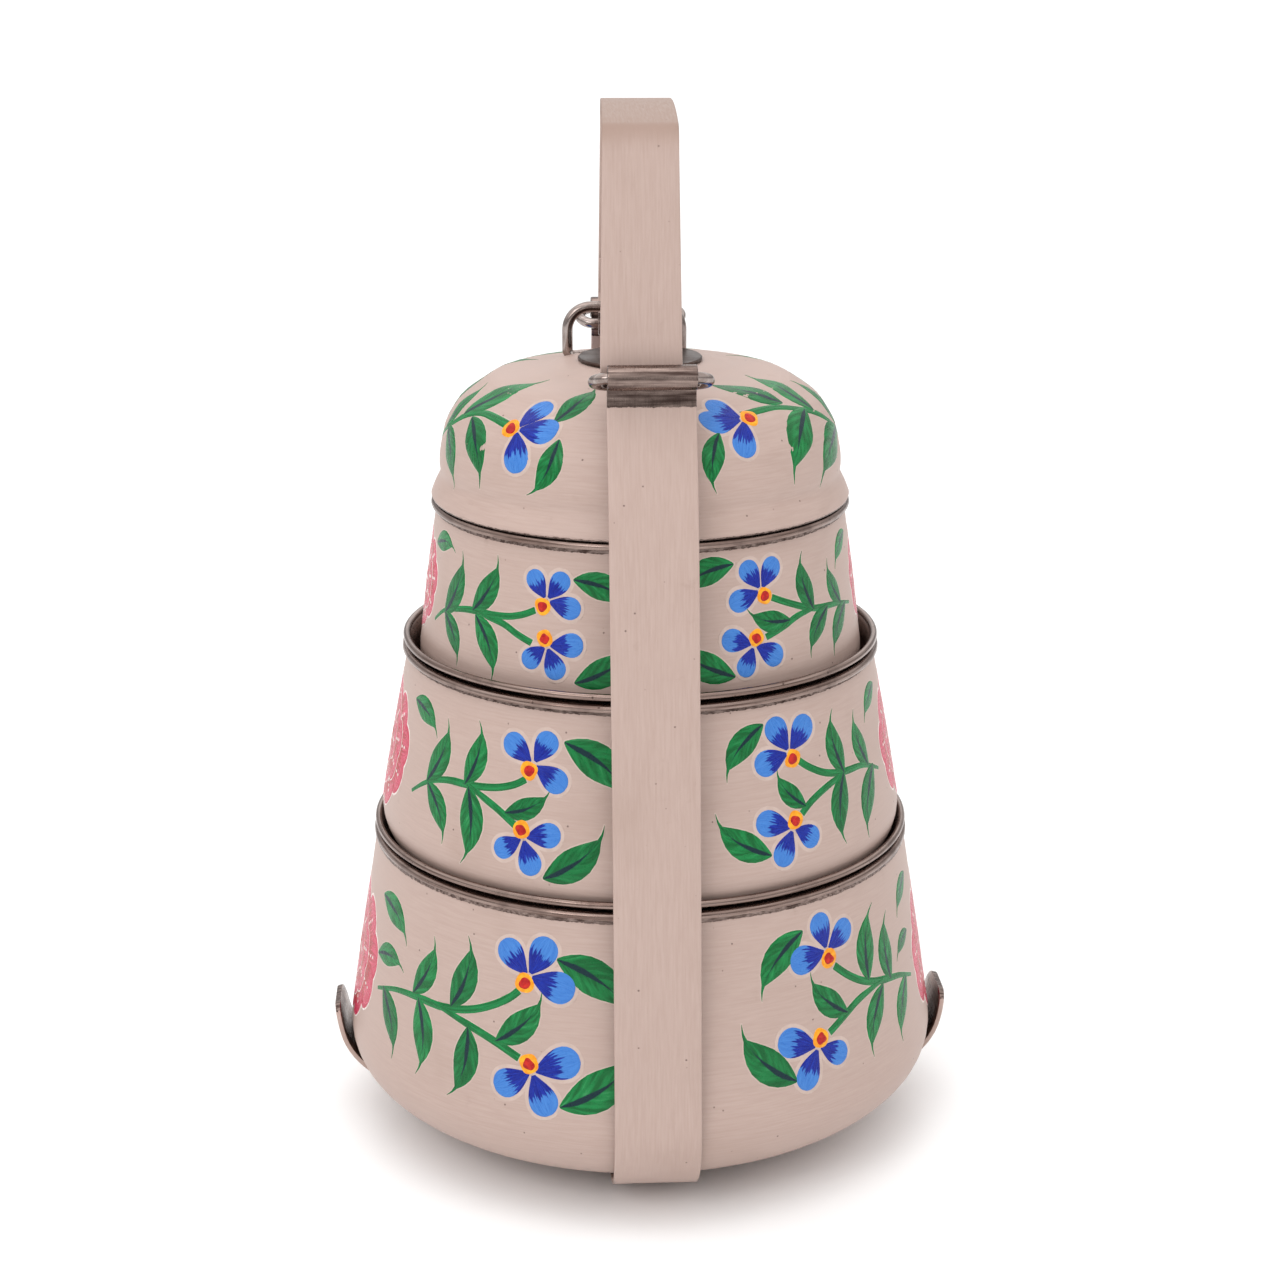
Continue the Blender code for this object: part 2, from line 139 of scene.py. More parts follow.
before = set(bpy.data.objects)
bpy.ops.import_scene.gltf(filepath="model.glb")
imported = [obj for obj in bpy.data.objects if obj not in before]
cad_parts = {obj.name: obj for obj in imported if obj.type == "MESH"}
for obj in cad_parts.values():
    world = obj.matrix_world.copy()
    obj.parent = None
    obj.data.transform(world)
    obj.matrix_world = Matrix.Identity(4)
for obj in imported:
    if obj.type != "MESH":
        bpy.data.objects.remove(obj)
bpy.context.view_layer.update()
random.seed(SEED)


# ---------------------------------------------------------------- outlines
def bezier(start, pull_start, pull_end, end, count):
    points = []
    for step in range(count + 1):
        t = step / count
        weights = ((1 - t) ** 3, 3 * t * (1 - t) ** 2, 3 * t * t * (1 - t), t ** 3)
        corners = (start, pull_start, pull_end, end)
        points.append(tuple(sum(w * c[axis] for w, c in zip(weights, corners)) for axis in (0, 1)))
    return points


def arc(centre, radius, first, last, count):
    points = []
    for step in range(count + 1):
        angle = radians(first + (last - first) * step / count)
        points.append((centre[0] + radius * cos(angle), centre[1] + radius * sin(angle)))
    return points


def spline(points, per_span):
    """Smooth curve through the points (Catmull-Rom), ends repeated."""
    padded = [points[0]] + list(points) + [points[-1]]
    result = []
    for before, start, end, after in zip(padded, padded[1:], padded[2:], padded[3:]):
        pull_start = tuple(s + (e - b) / 6 for s, e, b in zip(start, end, before))
        pull_end = tuple(e - (a - s) / 6 for e, a, s in zip(end, after, start))
        result += bezier(start, pull_start, pull_end, end, per_span)[:-1]
    return result + [tuple(points[-1])]


def offset(path, distance):
    """The path moved sideways to the right of its direction."""
    moved = []
    for index, point in enumerate(path):
        before = path[max(index - 1, 0)]
        after = path[min(index + 1, len(path) - 1)]
        along = (after[0] - before[0], after[1] - before[1])
        size = hypot(*along)
        moved.append((point[0] + along[1] / size * distance, point[1] - along[0] / size * distance))
    return moved


# ---------------------------------------------------------------- shader building
class Shader:
    """A node material being built: each call adds a node and returns its output."""

    def __init__(self, name):
        self.material = bpy.data.materials.new(name)
        self.material.use_nodes = True
        self.tree = self.material.node_tree
        self.principled = self.tree.nodes["Principled BSDF"]
        self.place = self.node("ShaderNodeTexCoord").outputs["Object"]

    def node(self, kind, **settings):
        made = self.tree.nodes.new(kind)
        for key, value in settings.items():
            setattr(made, key, value)
        return made

    def put(self, socket, value):
        if isinstance(value, bpy.types.NodeSocket):
            self.tree.links.new(value, socket)
        elif isinstance(value, tuple) and len(value) == 3 and socket.type == "RGBA":
            socket.default_value = (*value, 1.0)
        else:
            socket.default_value = value

    def math(self, operation, a, b=0.0):
        made = self.node("ShaderNodeMath", operation=operation)
        self.put(made.inputs[0], a)
        self.put(made.inputs[1], b)
        return made.outputs[0]

    def times(self, a, b):
        return self.math("MULTIPLY", a, b)

    def plus(self, a, b):
        return self.math("ADD", a, b)

    def minus(self, a, b):
        return self.math("SUBTRACT", a, b)

    def scaled(self, scale):
        made = self.node("ShaderNodeVectorMath", operation="MULTIPLY")
        self.put(made.inputs[0], self.place)
        made.inputs[1].default_value = scale
        return made.outputs[0]

    def noise(self, vector, scale=1.0, detail=3.0, roughness=0.55):
        made = self.node("ShaderNodeTexNoise")
        self.put(made.inputs["Vector"], vector)
        made.inputs["Scale"].default_value = scale
        made.inputs["Detail"].default_value = detail
        made.inputs["Roughness"].default_value = roughness
        return made.outputs["Fac"]

    def spots(self, vector, scale):
        made = self.node("ShaderNodeTexVoronoi")
        self.put(made.inputs["Vector"], vector)
        made.inputs["Scale"].default_value = scale
        return made.outputs["Distance"], made.outputs["Color"]

    def step(self, value, low, high, first=0.0, last=1.0):
        """The value's place between low and high, smoothed, from first to last."""
        made = self.node("ShaderNodeMapRange", interpolation_type="SMOOTHSTEP")
        for socket, given in zip(made.inputs, (value, low, high, first, last)):
            self.put(socket, given)
        return made.outputs[0]

    def mix(self, share, a, b):
        made = self.node("ShaderNodeMix", data_type="RGBA")
        self.put(made.inputs[0], share)
        self.put(made.inputs[6], a)
        self.put(made.inputs[7], b)
        return made.outputs[2]

    def split(self, vector):
        made = self.node("ShaderNodeSeparateXYZ")
        self.put(made.inputs[0], vector)
        return made.outputs

    def bump(self, height, distance):
        made = self.node("ShaderNodeBump")
        made.inputs["Strength"].default_value = 1.0
        made.inputs["Distance"].default_value = distance
        self.put(made.inputs["Height"], height)
        return made.outputs[0]

    def finish(self, **sockets):
        for name, value in sockets.items():
            self.put(self.principled.inputs[name.replace("_", " ")], value)
        return self.material


# ---------------------------------------------------------------- colours
CREAM = (0.442, 0.321, 0.277)
CREAM_LIGHT = (0.487, 0.364, 0.319)
CREAM_DIRTY = (0.350, 0.243, 0.197)
# Painted shade: browner cream laid over the handle's crown, where its bend falls into shade
CROWN_SHADE = (0.250, 0.155, 0.115)
PIT = (0.085, 0.050, 0.040)
STEEL = (0.135, 0.086, 0.071)
STEEL_LIGHT = (0.330, 0.248, 0.218)
STEEL_DARK = (0.045, 0.026, 0.022)
ENAMEL_BUMP = 0.00007
STEEL_BUMP = 0.00003
STROKE_BUMP = 0.00008


def paint(name, grain, edge=None, worn=None, crown_shade=None):
    """Brushed cream enamel. Grain is the streaks' scale along X, Y and Z; edge is the height of the
    ragged line where the paint stops and its direction (1 bare above it, -1 bare below it); worn is a
    list of (low corner, high corner) boxes whose paint is chipped; crown_shade is the (low, high)
    heights over which the paint turns browner, a painted shade of the handle's bent crown."""
    s = Shader(name)
    streaks = s.noise(s.scaled(grain), 1.0, 4.0, 0.62)
    broad = s.noise(s.place, 38.0, 3.0, 0.5)
    grime = s.noise(s.place, 150.0, 4.0, 0.65)
    colour = s.mix(s.step(streaks, 0.25, 0.78), CREAM, CREAM_LIGHT)
    colour = s.mix(s.step(broad, 0.52, 0.78, 0.0, 0.30), colour, CREAM_DIRTY)
    colour = s.mix(s.step(grime, 0.62, 0.80, 0.0, 0.30), colour, CREAM_DIRTY)
    if crown_shade:
        # Painted shade: the paint turns browner over these heights, standing in for the shade of the handle's
        # bent crown
        shaded = s.step(s.split(s.place)[2], crown_shade[0], crown_shade[1], 0.0, 0.8)
        colour = s.mix(shaded, colour, CROWN_SHADE)
    distance, pick = s.spots(s.place, 420.0)
    chosen = s.step(s.split(pick)[0], 0.90, 0.94)
    pits = s.times(s.step(distance, 0.05, 0.15, 1.0, 0.0), chosen)
    colour = s.mix(s.times(pits, 0.75), colour, PIT)
    bare = None
    ragged = s.noise(s.place, 900.0, 3.0, 0.6)
    if edge:
        height = s.split(s.place)[2]
        beyond = s.times(s.minus(height, edge[0]), edge[1] * 1000.0)
        beyond = s.plus(beyond, s.times(s.minus(ragged, 0.5), 0.9))
        bare = s.step(beyond, -0.08, 0.08)
    for low, high in worn or []:
        inside = None
        for axis, value in enumerate(s.split(s.place)):
            depth = s.math("MINIMUM", s.minus(value, low[axis]), s.minus(high[axis], value))
            inside = depth if inside is None else s.math("MINIMUM", inside, depth)
        chips = s.plus(s.times(inside, 260.0), s.times(ragged, 1.6))
        chips = s.step(chips, 1.02, 1.10)
        bare = chips if bare is None else s.math("MAXIMUM", bare, chips)
    peel = s.noise(s.place, 700.0, 2.0, 0.5)
    height = s.plus(s.times(streaks, 0.6), s.times(peel, 0.25))
    height = s.minus(height, s.times(pits, 1.2))
    rough = s.step(streaks, 0.2, 0.8, 0.40, 0.56)
    if bare is None:
        return s.finish(Base_Color=colour, Roughness=rough, Normal=s.bump(height, ENAMEL_BUMP),
                        Specular_IOR_Level=0.35)
    scratches = s.noise(s.scaled((70.0, 1300.0, 1300.0)), 1.0, 3.0)
    metal = s.mix(s.step(scratches, 0.25, 0.8), STEEL_DARK, STEEL_LIGHT)
    metal = s.mix(s.step(grime, 0.50, 0.74, 0.0, 0.5), metal, STEEL_DARK)
    height = s.times(height, s.minus(1.0, bare))
    height = s.minus(height, s.times(bare, 1.6))
    return s.finish(Base_Color=s.mix(bare, colour, metal), Metallic=bare,
                    Roughness=s.plus(rough, s.times(bare, -0.20)),
                    Normal=s.bump(height, ENAMEL_BUMP), Specular_IOR_Level=0.35)


def steel(name, grain, tone=STEEL, light=STEEL_LIGHT, rough=(0.20, 0.38)):
    """Bare warm-grey steel with fine drawn or spun lines, darker stains and small pits."""
    s = Shader(name)
    lines = s.noise(s.scaled(grain), 1.0, 4.0, 0.68)
    stain = s.noise(s.place, 120.0, 4.0, 0.6)
    colour = s.mix(s.step(lines, 0.30, 0.72), tone, light)
    colour = s.mix(s.step(stain, 0.50, 0.74, 0.0, 0.45), colour, STEEL_DARK)
    distance, pick = s.spots(s.place, 520.0)
    pits = s.times(s.step(distance, 0.10, 0.22, 1.0, 0.0), s.step(s.split(pick)[1], 0.80, 0.82))
    colour = s.mix(s.times(pits, 0.7), colour, STEEL_DARK)
    height = s.minus(s.times(lines, 0.7), pits)
    return s.finish(Base_Color=colour, Metallic=1.0, Roughness=s.step(stain, 0.3, 0.7, *rough),
                    Normal=s.bump(height, STEEL_BUMP))


def stroke_paint(name, build, rough=0.30):
    """Glossy hand-painted colour. build(s, along, across, seed) returns (colour, height)."""
    s = Shader(name)
    attribute = s.node("ShaderNodeAttribute", attribute_name="stroke")
    along, across, seed = s.split(attribute.outputs["Vector"])
    colour, height = build(s, along, across, seed)
    bristle = s.noise(s.place, 1500.0, 2.0, 0.5)
    rough_share = s.step(bristle, 0.3, 0.7, rough - 0.05, rough + 0.10)
    height = s.plus(height, s.times(bristle, 0.25))
    return s.finish(Base_Color=colour, Roughness=rough_share, Normal=s.bump(height, STROKE_BUMP),
                    Specular_IOR_Level=0.22)


def strokes(s, along, across, seed, lengthwise, crosswise, detail=2.0):
    """Noise drawn out along a brush stroke."""
    joined = s.node("ShaderNodeCombineXYZ")
    s.put(joined.inputs[0], s.times(along, lengthwise))
    s.put(joined.inputs[1], s.times(across, crosswise))
    s.put(joined.inputs[2], s.times(seed, 37.0))
    return s.noise(joined.outputs[0], 1.0, detail, 0.5)


def petal_colour(s, along, across, seed):
    feather = strokes(s, along, across, seed, 1.2, 8.5, 1.0)
    fine = strokes(s, along, across, seed, 3.0, 16.0)
    reach = s.plus(along, s.times(s.minus(feather, 0.5), 0.62))
    reach = s.plus(reach, s.times(s.math("ABSOLUTE", across), 0.06))
    light = s.step(reach, 0.53, 0.59)
    deep = s.mix(s.step(fine, 0.35, 0.7), (0.0030, 0.0080, 0.190), (0.009, 0.034, 0.370))
    tip = s.mix(s.step(fine, 0.3, 0.75), (0.040, 0.165, 0.510), (0.064, 0.225, 0.600))
    return s.mix(light, deep, tip), s.plus(s.times(feather, 0.6), fine)


def leaf_colour(s, along, across, seed):
    side = s.math("ABSOLUTE", across)
    slanted = s.minus(along, s.times(side, 0.30))
    brush = strokes(s, across, slanted, seed, 1.6, 11.0)
    body = s.mix(s.step(brush, 0.34, 0.66), (0.0030, 0.108, 0.024), (0.009, 0.205, 0.052))
    body = s.mix(s.step(brush, 0.63, 0.80, 0.0, 0.50), body, (0.075, 0.360, 0.135))
    tint = s.step(s.math("FRACT", s.times(seed, 7.3)), 0.0, 1.0, 0.0, 0.30)
    body = s.mix(tint, body, (0.0035, 0.062, 0.020))
    wander = s.times(s.minus(strokes(s, along, seed, seed, 2.2, 1.0), 0.5), 0.16)
    vein = s.math("ABSOLUTE", s.plus(across, wander))
    width = s.step(along, 0.0, 0.80, 0.23, 0.0)
    dark = s.step(s.minus(vein, width), -0.03, 0.03, 1.0, 0.0)
    return s.mix(dark, body, (0.0035, 0.022, 0.030)), s.times(brush, 1.2)


def stem_colour(s, along, across, seed):
    brush = strokes(s, along, across, seed, 6.0, 2.6)
    body = s.mix(s.step(brush, 0.35, 0.7), (0.0035, 0.118, 0.028), (0.010, 0.215, 0.058))
    return body, s.times(brush, 1.2)


def dabbed(scale, detail, low, high, dark, light):
    """Colour function of a plain dab: two tones mixed by a noise between low and high."""
    def colour(s, along, across, seed):
        brush = s.noise(s.place, scale, detail)
        return s.mix(s.step(brush, low, high), dark, light), brush

    return colour


def lobe_colour(s, along, across, seed):
    """Carnation lobe: red at its root, with pink strokes that fringe its outer edge."""
    feather = strokes(s, along, across, seed, 1.4, 11.0, 1.0)
    reach = s.plus(along, s.times(s.minus(feather, 0.5), 0.50))
    pink = s.step(reach, 0.62, 0.70)
    root = s.mix(s.step(feather, 0.35, 0.7), (0.32, 0.003, 0.008), (0.44, 0.009, 0.016))
    rim = s.mix(s.step(feather, 0.35, 0.7), (0.45, 0.022, 0.060), (0.58, 0.055, 0.115))
    return s.mix(pink, root, rim), feather


def make_colours():
    amber = dabbed(620.0, 2.0, 0.35, 0.7, (0.78, 0.27, 0.012), (0.92, 0.42, 0.022))
    ruby = dabbed(700.0, 2.0, 0.35, 0.7, (0.34, 0.008, 0.010), (0.56, 0.022, 0.014))
    halo = dabbed(420.0, 3.0, 0.3, 0.7, (0.500, 0.380, 0.332), (0.550, 0.428, 0.380))
    white = dabbed(500.0, 2.0, 0.3, 0.7, (0.68, 0.58, 0.54), (0.76, 0.68, 0.64))
    plans = {"halo": (halo, 0.42), "leaf": (leaf_colour,), "stem": (stem_colour,), "petal": (petal_colour,),
             "amber": (amber,), "ruby": (ruby,), "lobe": (lobe_colour,), "white": (white, 0.38)}
    return {name: stroke_paint(name + "_paint", *plan) for name, plan in plans.items()}


# ---------------------------------------------------------------- meshes
def new_object(name, mesh, materials):
    made = bpy.data.objects.new(name, mesh)
    for material in materials:
        mesh.materials.append(material)
    bpy.context.scene.collection.objects.link(made)
    return made


def mesh_from(name, vertices, faces, sharp=None):
    mesh = bpy.data.meshes.new(name)
    mesh.from_pydata(vertices, [], faces)
    mesh.update()
    mesh.polygons.foreach_set("use_smooth", [True] * len(mesh.polygons))
    if sharp:
        mesh.set_sharp_from_angle(angle=radians(sharp))
    return mesh


def turned(name, outline, materials, bare_points=()):
    """Solid of revolution of an outline that starts and ends on the axis. Spans whose first point's
    index is in bare_points get the second material."""
    vertices, rings = [], []
    for radius, height in outline:
        first = len(vertices)
        if radius < 1e-6:
            vertices.append((0, 0, height))
            rings.append([first] * TURN_STEPS)
            continue
        for step in range(TURN_STEPS):
            angle = 2 * pi * step / TURN_STEPS
            vertices.append((radius * sin(angle), -radius * cos(angle), height))
        rings.append(list(range(first, first + TURN_STEPS)))
    faces, slots = [], []
    for index, (lower, upper) in enumerate(zip(rings, rings[1:])):
        for step in range(TURN_STEPS):
            after = (step + 1) % TURN_STEPS
            corners = list(dict.fromkeys([lower[step], lower[after], upper[after], upper[step]]))
            if len(corners) > 2:
                faces.append(corners)
                slots.append(1 if index in bare_points else 0)
    mesh = mesh_from(name, vertices, faces, SHELL_CREASE)
    made = new_object(name, mesh, materials)
    mesh.polygons.foreach_set("material_index", slots)
    face_outwards(mesh)
    return made


def face_outwards(mesh):
    """Turns the faces so that the closed mesh's signed volume is positive."""
    places = np.empty(len(mesh.vertices) * 3)
    mesh.vertices.foreach_get("co", places)
    places = places.reshape(-1, 3)
    volume = 0.0
    for face in mesh.polygons:
        corner = [places[index] for index in face.vertices]
        for second, third in zip(corner[1:], corner[2:]):
            volume += np.dot(corner[0], np.cross(second, third))
    if volume < 0:
        mesh.flip_normals()


def tier_outside(tier):
    """A bowl's outer outline, from under its bead down to the middle of its floor."""
    top, foot = tier["wall_top"], tier["foot"]
    wall_pull, floor_pull = tier["pull"]
    lean = Vector((foot[0] - top[0], foot[1] - top[1])).normalized()
    start = (foot[0] + lean.x * wall_pull, foot[1] + lean.y * wall_pull)
    flat = (tier["flat"], tier["floor"])
    wall_steps = 8
    wall = [tuple(a + (b - a) * step / wall_steps for a, b in zip(top, foot)) for step in range(wall_steps)]
    corner = bezier(foot, start, (flat[0] + floor_pull, flat[1]), flat, FOOT_STEPS)
    return wall + corner + [(0.0, tier["floor"])]


def bowl(name, materials):
    tier = TIERS[name]
    outside = tier_outside(tier)
    inside = offset(outside, SHEET)[::-1]
    inside[0] = (0.0, tier["floor"] + SHEET)
    bead = arc(tier["bead"], BEAD_RADIUS, 190, -35, 16)
    outline = inside + bead + outside
    bare = set(range(len(inside) + len(bead)))
    return turned(name + "_shell", outline, materials, bare)


def cover(name, below_tier, above_tier, material):
    neck = below_tier["bead"][0] - BEAD_RADIUS - COVER_NECK_GAP
    bead_top = below_tier["bead"][1] + BEAD_RADIUS
    rim = (below_tier["bead"][0] - COVER_RIM_INSET, below_tier["bead"][1] + COVER_RIM_RISE)
    gap = offset(tier_outside(above_tier), -COVER_FOOT_GAP)
    widest, highest = neck - COVER_SHEET - 0.0004, bead_top - 0.004
    inside = [point for point in gap if point[0] < widest and point[1] < highest][::-1]
    inside[0] = (0.0, above_tier["floor"] - COVER_FOOT_GAP)
    outside = offset(inside[::-1], -COVER_SHEET)
    outside[-1] = (0.0, inside[0][1] - COVER_SHEET)
    throat = [(neck - COVER_SHEET, bead_top - COVER_THROAT_DEPTH),
              (neck - COVER_SHEET, bead_top + CLEARANCE)]
    ring = arc(rim, RIM_RADIUS, 195, -80, 16)
    seat = [(neck + 0.0008, bead_top + CLEARANCE), (neck, bead_top + CLEARANCE),
            (neck, bead_top - COVER_THROAT_DEPTH)]
    return turned(name + "_dish", inside + throat + ring + seat + outside, [material])


def lid_outside():
    """Outer outline of the lid from the boss to the skirt's lower edge."""
    boss = LID_BOSS[:1] + spline(LID_BOSS[1:], 3)[:-1]
    dome = spline([LID_BOSS[-1]] + LID_DOME + LID_SKIRT[:-1], 4)
    return boss + dome + [LID_SKIRT[-1]]


def lid_shell(materials):
    outer = lid_outside()
    above_groove = [point for point in outer if point[1] >= LID_SKIRT[0][1]]
    inner = offset(above_groove, SHEET)
    inner[0] = (0.0, LID_BOSS[0][1] - SHEET)
    lip = LID_LIP_RADIUS
    foot = [(lip, LID_SKIRT[-1][1]), (lip, LID_LIP_BOTTOM), (lip - SHEET, LID_LIP_BOTTOM),
            (lip - SHEET, LID_SKIRT[0][1] - 0.0030)]
    outline = outer + foot + inner[::-1]
    bare = set(range(len(outer) - 1, len(outline)))
    return turned("lid_shell", outline, materials, bare)


def ribbon(name, path, material, half_width, thickness, turn=0.0, twist=(0.0, 0.0)):
    """Strap with rounded long edges along a path of (outward, height), +Y outward. It is twisted by an
    angle and moved along X, and then turned about the vertical. half_width(share) gives its half width
    along its length."""
    rounds = 3
    half = thickness / 2
    upper = [(share, 0.0, half) for share in np.linspace(-1, 1, STRAP_COLUMNS + 1)[1:-1]]
    right = [(1.0, inset - STRAP_BEVEL, up + half - STRAP_BEVEL)
             for up, inset in arc((0, 0), STRAP_BEVEL, 0, 90, rounds)]
    right += [(side, inset, -up) for side, inset, up in right[::-1]]
    left = [(-side, -inset, up) for side, inset, up in right[::-1]]
    lower = [(-share, 0.0, -half) for share, _, _ in upper]
    section = upper + right + lower + left
    normals = []
    for index in range(len(path)):
        before = Vector(path[max(index - 1, 0)])
        after = Vector(path[min(index + 1, len(path) - 1)])
        along = (after - before).normalized()
        normals.append(Vector((along.y, -along.x)))
    vertices = []
    angle, shift = twist
    for index, (point, normal) in enumerate(zip(path, normals)):
        width = half_width(index / (len(path) - 1))
        for side, inset, up in section:
            x = side * width + inset
            y = point[0] + normal.x * up
            z = point[1] + normal.y * up
            x, y = x * cos(angle) - y * sin(angle) + shift, x * sin(angle) + y * cos(angle)
            vertices.append((x * cos(turn) - y * sin(turn), x * sin(turn) + y * cos(turn), z))
    size = len(section)
    faces = []
    for index in range(len(path) - 1):
        for corner in range(size):
            after = (corner + 1) % size
            low, high = index * size, (index + 1) * size
            faces.append((low + corner, low + after, high + after, high + corner))
    faces.append(tuple(range(size))[::-1])
    faces.append(tuple(range((len(path) - 1) * size, len(path) * size)))
    mesh = mesh_from(name, vertices, faces, STRIP_CREASE)
    face_outwards(mesh)
    return new_object(name, mesh, [material])


def tube(name, points, material):
    """Closed loop of round wire along 3-D points."""
    places = [Vector(point) for point in points]
    count = len(places)
    vertices, faces = [], []
    reference = (places[1] - places[-1]).normalized().orthogonal().normalized()
    for index, place in enumerate(places):
        along = (places[(index + 1) % count] - places[index - 1]).normalized()
        reference = (reference - along * reference.dot(along)).normalized()
        other = along.cross(reference)
        for side in range(WIRE_SIDES):
            angle = 2 * pi * side / WIRE_SIDES
            vertices.append(place + (reference * cos(angle) + other * sin(angle)) * WIRE_RADIUS)
    # The last ring may have turned against the first one, so the closing faces start further round
    last = vertices[(count - 1) * WIRE_SIDES] - places[-1]
    along = (places[0] - places[-1]).normalized()
    last = (last - along * last.dot(along)).normalized()
    shift = min(range(WIRE_SIDES), key=lambda k: -(vertices[k] - places[0]).dot(last))
    for index in range(count):
        low, high = index * WIRE_SIDES, (index + 1) % count * WIRE_SIDES
        turn = shift if index == count - 1 else 0
        for side in range(WIRE_SIDES):
            after = (side + 1) % WIRE_SIDES
            faces.append((low + side, low + after, high + (after + turn) % WIRE_SIDES,
                          high + (side + turn) % WIRE_SIDES))
    mesh = mesh_from(name, [tuple(vertex) for vertex in vertices], faces, STRIP_CREASE)
    face_outwards(mesh)
    return new_object(name, mesh, [material])


# ---------------------------------------------------------------- straps, handle and wires
def strap_corner():
    """The long strap's bend from its flat run to its upright."""
    middle = STRAP_THICKNESS / 2
    lean = Vector((STRAP_CORNER[0] - UPRIGHT[0][0], STRAP_CORNER[1] - UPRIGHT[0][1])).normalized()
    wall_pull, floor_pull = STRAP_CORNER_PULL
    end_pull = (STRAP_CORNER[0] + lean.x * wall_pull, STRAP_CORNER[1] + lean.y * wall_pull)
    return bezier((STRAP_FLAT, middle), (STRAP_FLAT + floor_pull, middle), end_pull, STRAP_CORNER,
                  STRAP_CORNER_STEPS)


def long_strap(name, side, material):
    """Half of the long strap: from the middle of its flat run, up the wall and round its barrel."""
    flat = [(STRAP_FLAT * step / 6 + 0.00001, STRAP_THICKNESS / 2) for step in range(6)]
    rise = spline([STRAP_CORNER] + UPRIGHT, 8)
    roll = arc(BARREL, BARREL_RADIUS, 180, BARREL_LIP, 36)
    path = [(min(out, STRAP_CORNER[0]), up) for out, up in flat + strap_corner()[:-1] + rise + roll]
    waver = [random.uniform(-STRAP_WAVER, STRAP_WAVER) for _ in range(STRAP_WAVER_PLACES)]

    def half_width(share):
        place = share * (len(waver) - 1)
        index = min(int(place), len(waver) - 2)
        part = place - index
        part = part * part * (3 - 2 * part)
        return STRAP_WIDTH / 2 - 0.0001 + waver[index] * (1 - part) + waver[index + 1] * part

    return ribbon(name, path, material, half_width, STRAP_THICKNESS, turn=0.0 if side > 0 else pi)


def short_strap(material, bare):
    """The cross strap; the ears' faces towards the bowl are bare."""
    middle = CROSS_RISE + STRAP_THICKNESS / 2
    lean = Vector((EAR_TOP[0] - CROSS_CORNER[0], EAR_TOP[1] - CROSS_CORNER[1])).normalized()
    end_pull = (CROSS_CORNER[0] - lean.x * 0.0150, CROSS_CORNER[1] - lean.y * 0.0150)
    corner = bezier((STRAP_FLAT - 0.004, middle), (STRAP_FLAT + 0.0145, middle - 0.0008), end_pull,
                    CROSS_CORNER, 24)
    ear = []
    for step in range(1, 17):
        share = 1 - (1 - step / 16) ** 2
        ear.append(tuple(a + (b - a) * share for a, b in zip(CROSS_CORNER, EAR_TOP)))
    half = corner + ear
    path = [(-outward, height) for outward, height in reversed(half)] + half
    lengths = [0.0]
    for start, end in zip(path, path[1:]):
        lengths.append(lengths[-1] + hypot(end[0] - start[0], end[1] - start[1]))

    def half_width(share):
        index = round(share * (len(path) - 1))
        from_end = min(lengths[index], lengths[-1] - lengths[index])
        missing = max(0.0, EAR_ROUNDING - from_end)
        return STRAP_WIDTH / 2 - EAR_ROUNDING + sqrt(EAR_ROUNDING ** 2 - missing ** 2)

    made = ribbon("short_strap", path, material, half_width, STRAP_THICKNESS, turn=pi / 2)
    made.data.materials.append(bare)
    for face in made.data.polygons:
        if face.center.z > 0.012 and face.normal.x * face.center.x < -0.3 * abs(face.center.x):
            face.material_index = 1
    return made


def link_bar():
    tilt = radians(LINK_TILT)
    return (BARREL[0] - LINK_SPACING * cos(tilt), BARREL[1] - LINK_SPACING * sin(tilt))


def leg_outline(eye):
    shoulder = (HANDLE_SHOULDER[0] - HANDLE_SHOULDER_RADIUS, HANDLE_SHOULDER[1])
    corner = arc(shoulder, HANDLE_SHOULDER_RADIUS, 84, 4, 14)
    eye_arc = arc(eye, EYE_RADIUS, 8, -188, 24)
    inner_leg = HANDLE_LEG_FOOT - HANDLE_THICKNESS - 0.0007
    leg = [corner[-1], (HANDLE_LEG_FOOT - 0.0028, 0.2400), (HANDLE_LEG_FOOT, FOLD_PINCH + 0.0030)]
    fold = [(inner_leg, FOLD_PINCH), (inner_leg - 0.0018, FOLD_PINCH + 0.0045),
            (HANDLE_LEG_FOOT - HANDLE_THICKNESS - 0.0028, FOLD_TOP)]
    return corner[:-1] + spline(leg, 10) + eye_arc + spline(fold, 8)


def handle(material):
    bar = link_bar()
    back = leg_outline(bar)
    open_rise = WIRE_RADIUS + CLEARANCE + EYE_RADIUS + HANDLE_THICKNESS / 2
    front = [(-outward, height) for outward, height in leg_outline((bar[0], bar[1] + open_rise))]
    edge = back[0]
    steps = 9
    crown = []
    for step in range(1 - steps, steps):
        share = step / steps
        crown.append((edge[0] * share, HANDLE_CROWN - (HANDLE_CROWN - edge[1]) * share ** 2))
    path = front[::-1] + crown + back
    widths = (HANDLE_TOP_WIDTH / 2, HANDLE_FOOT_WIDTH / 2)

    def half_width(place):
        height = path[round(place * (len(path) - 1))][1]
        share = min(1.0, max(0.0, (HANDLE_SHOULDER[1] - height) / (HANDLE_SHOULDER[1] - FOLD_PINCH)))
        return widths[0] + (widths[1] - widths[0]) * share - 0.00005

    return ribbon("handle_strap", path, material, half_width, HANDLE_THICKNESS,
                  twist=(radians(HANDLE_TWIST), HANDLE_SHIFT))


def link(name, side, material):
    half = LINK_SPACING / 2
    outline = arc((LINK_STRAIGHT, 0), half, -90, 90, 22) + arc((-LINK_STRAIGHT, 0), half, 90, 270, 22)
    tilt = radians(LINK_TILT)
    points = []
    for x, y in outline:
        inward = (y - half) * cos(tilt)
        points.append((x * side, side * (BARREL[0] + inward), BARREL[1] + (y - half) * sin(tilt)))
    return tube(name, points, material)


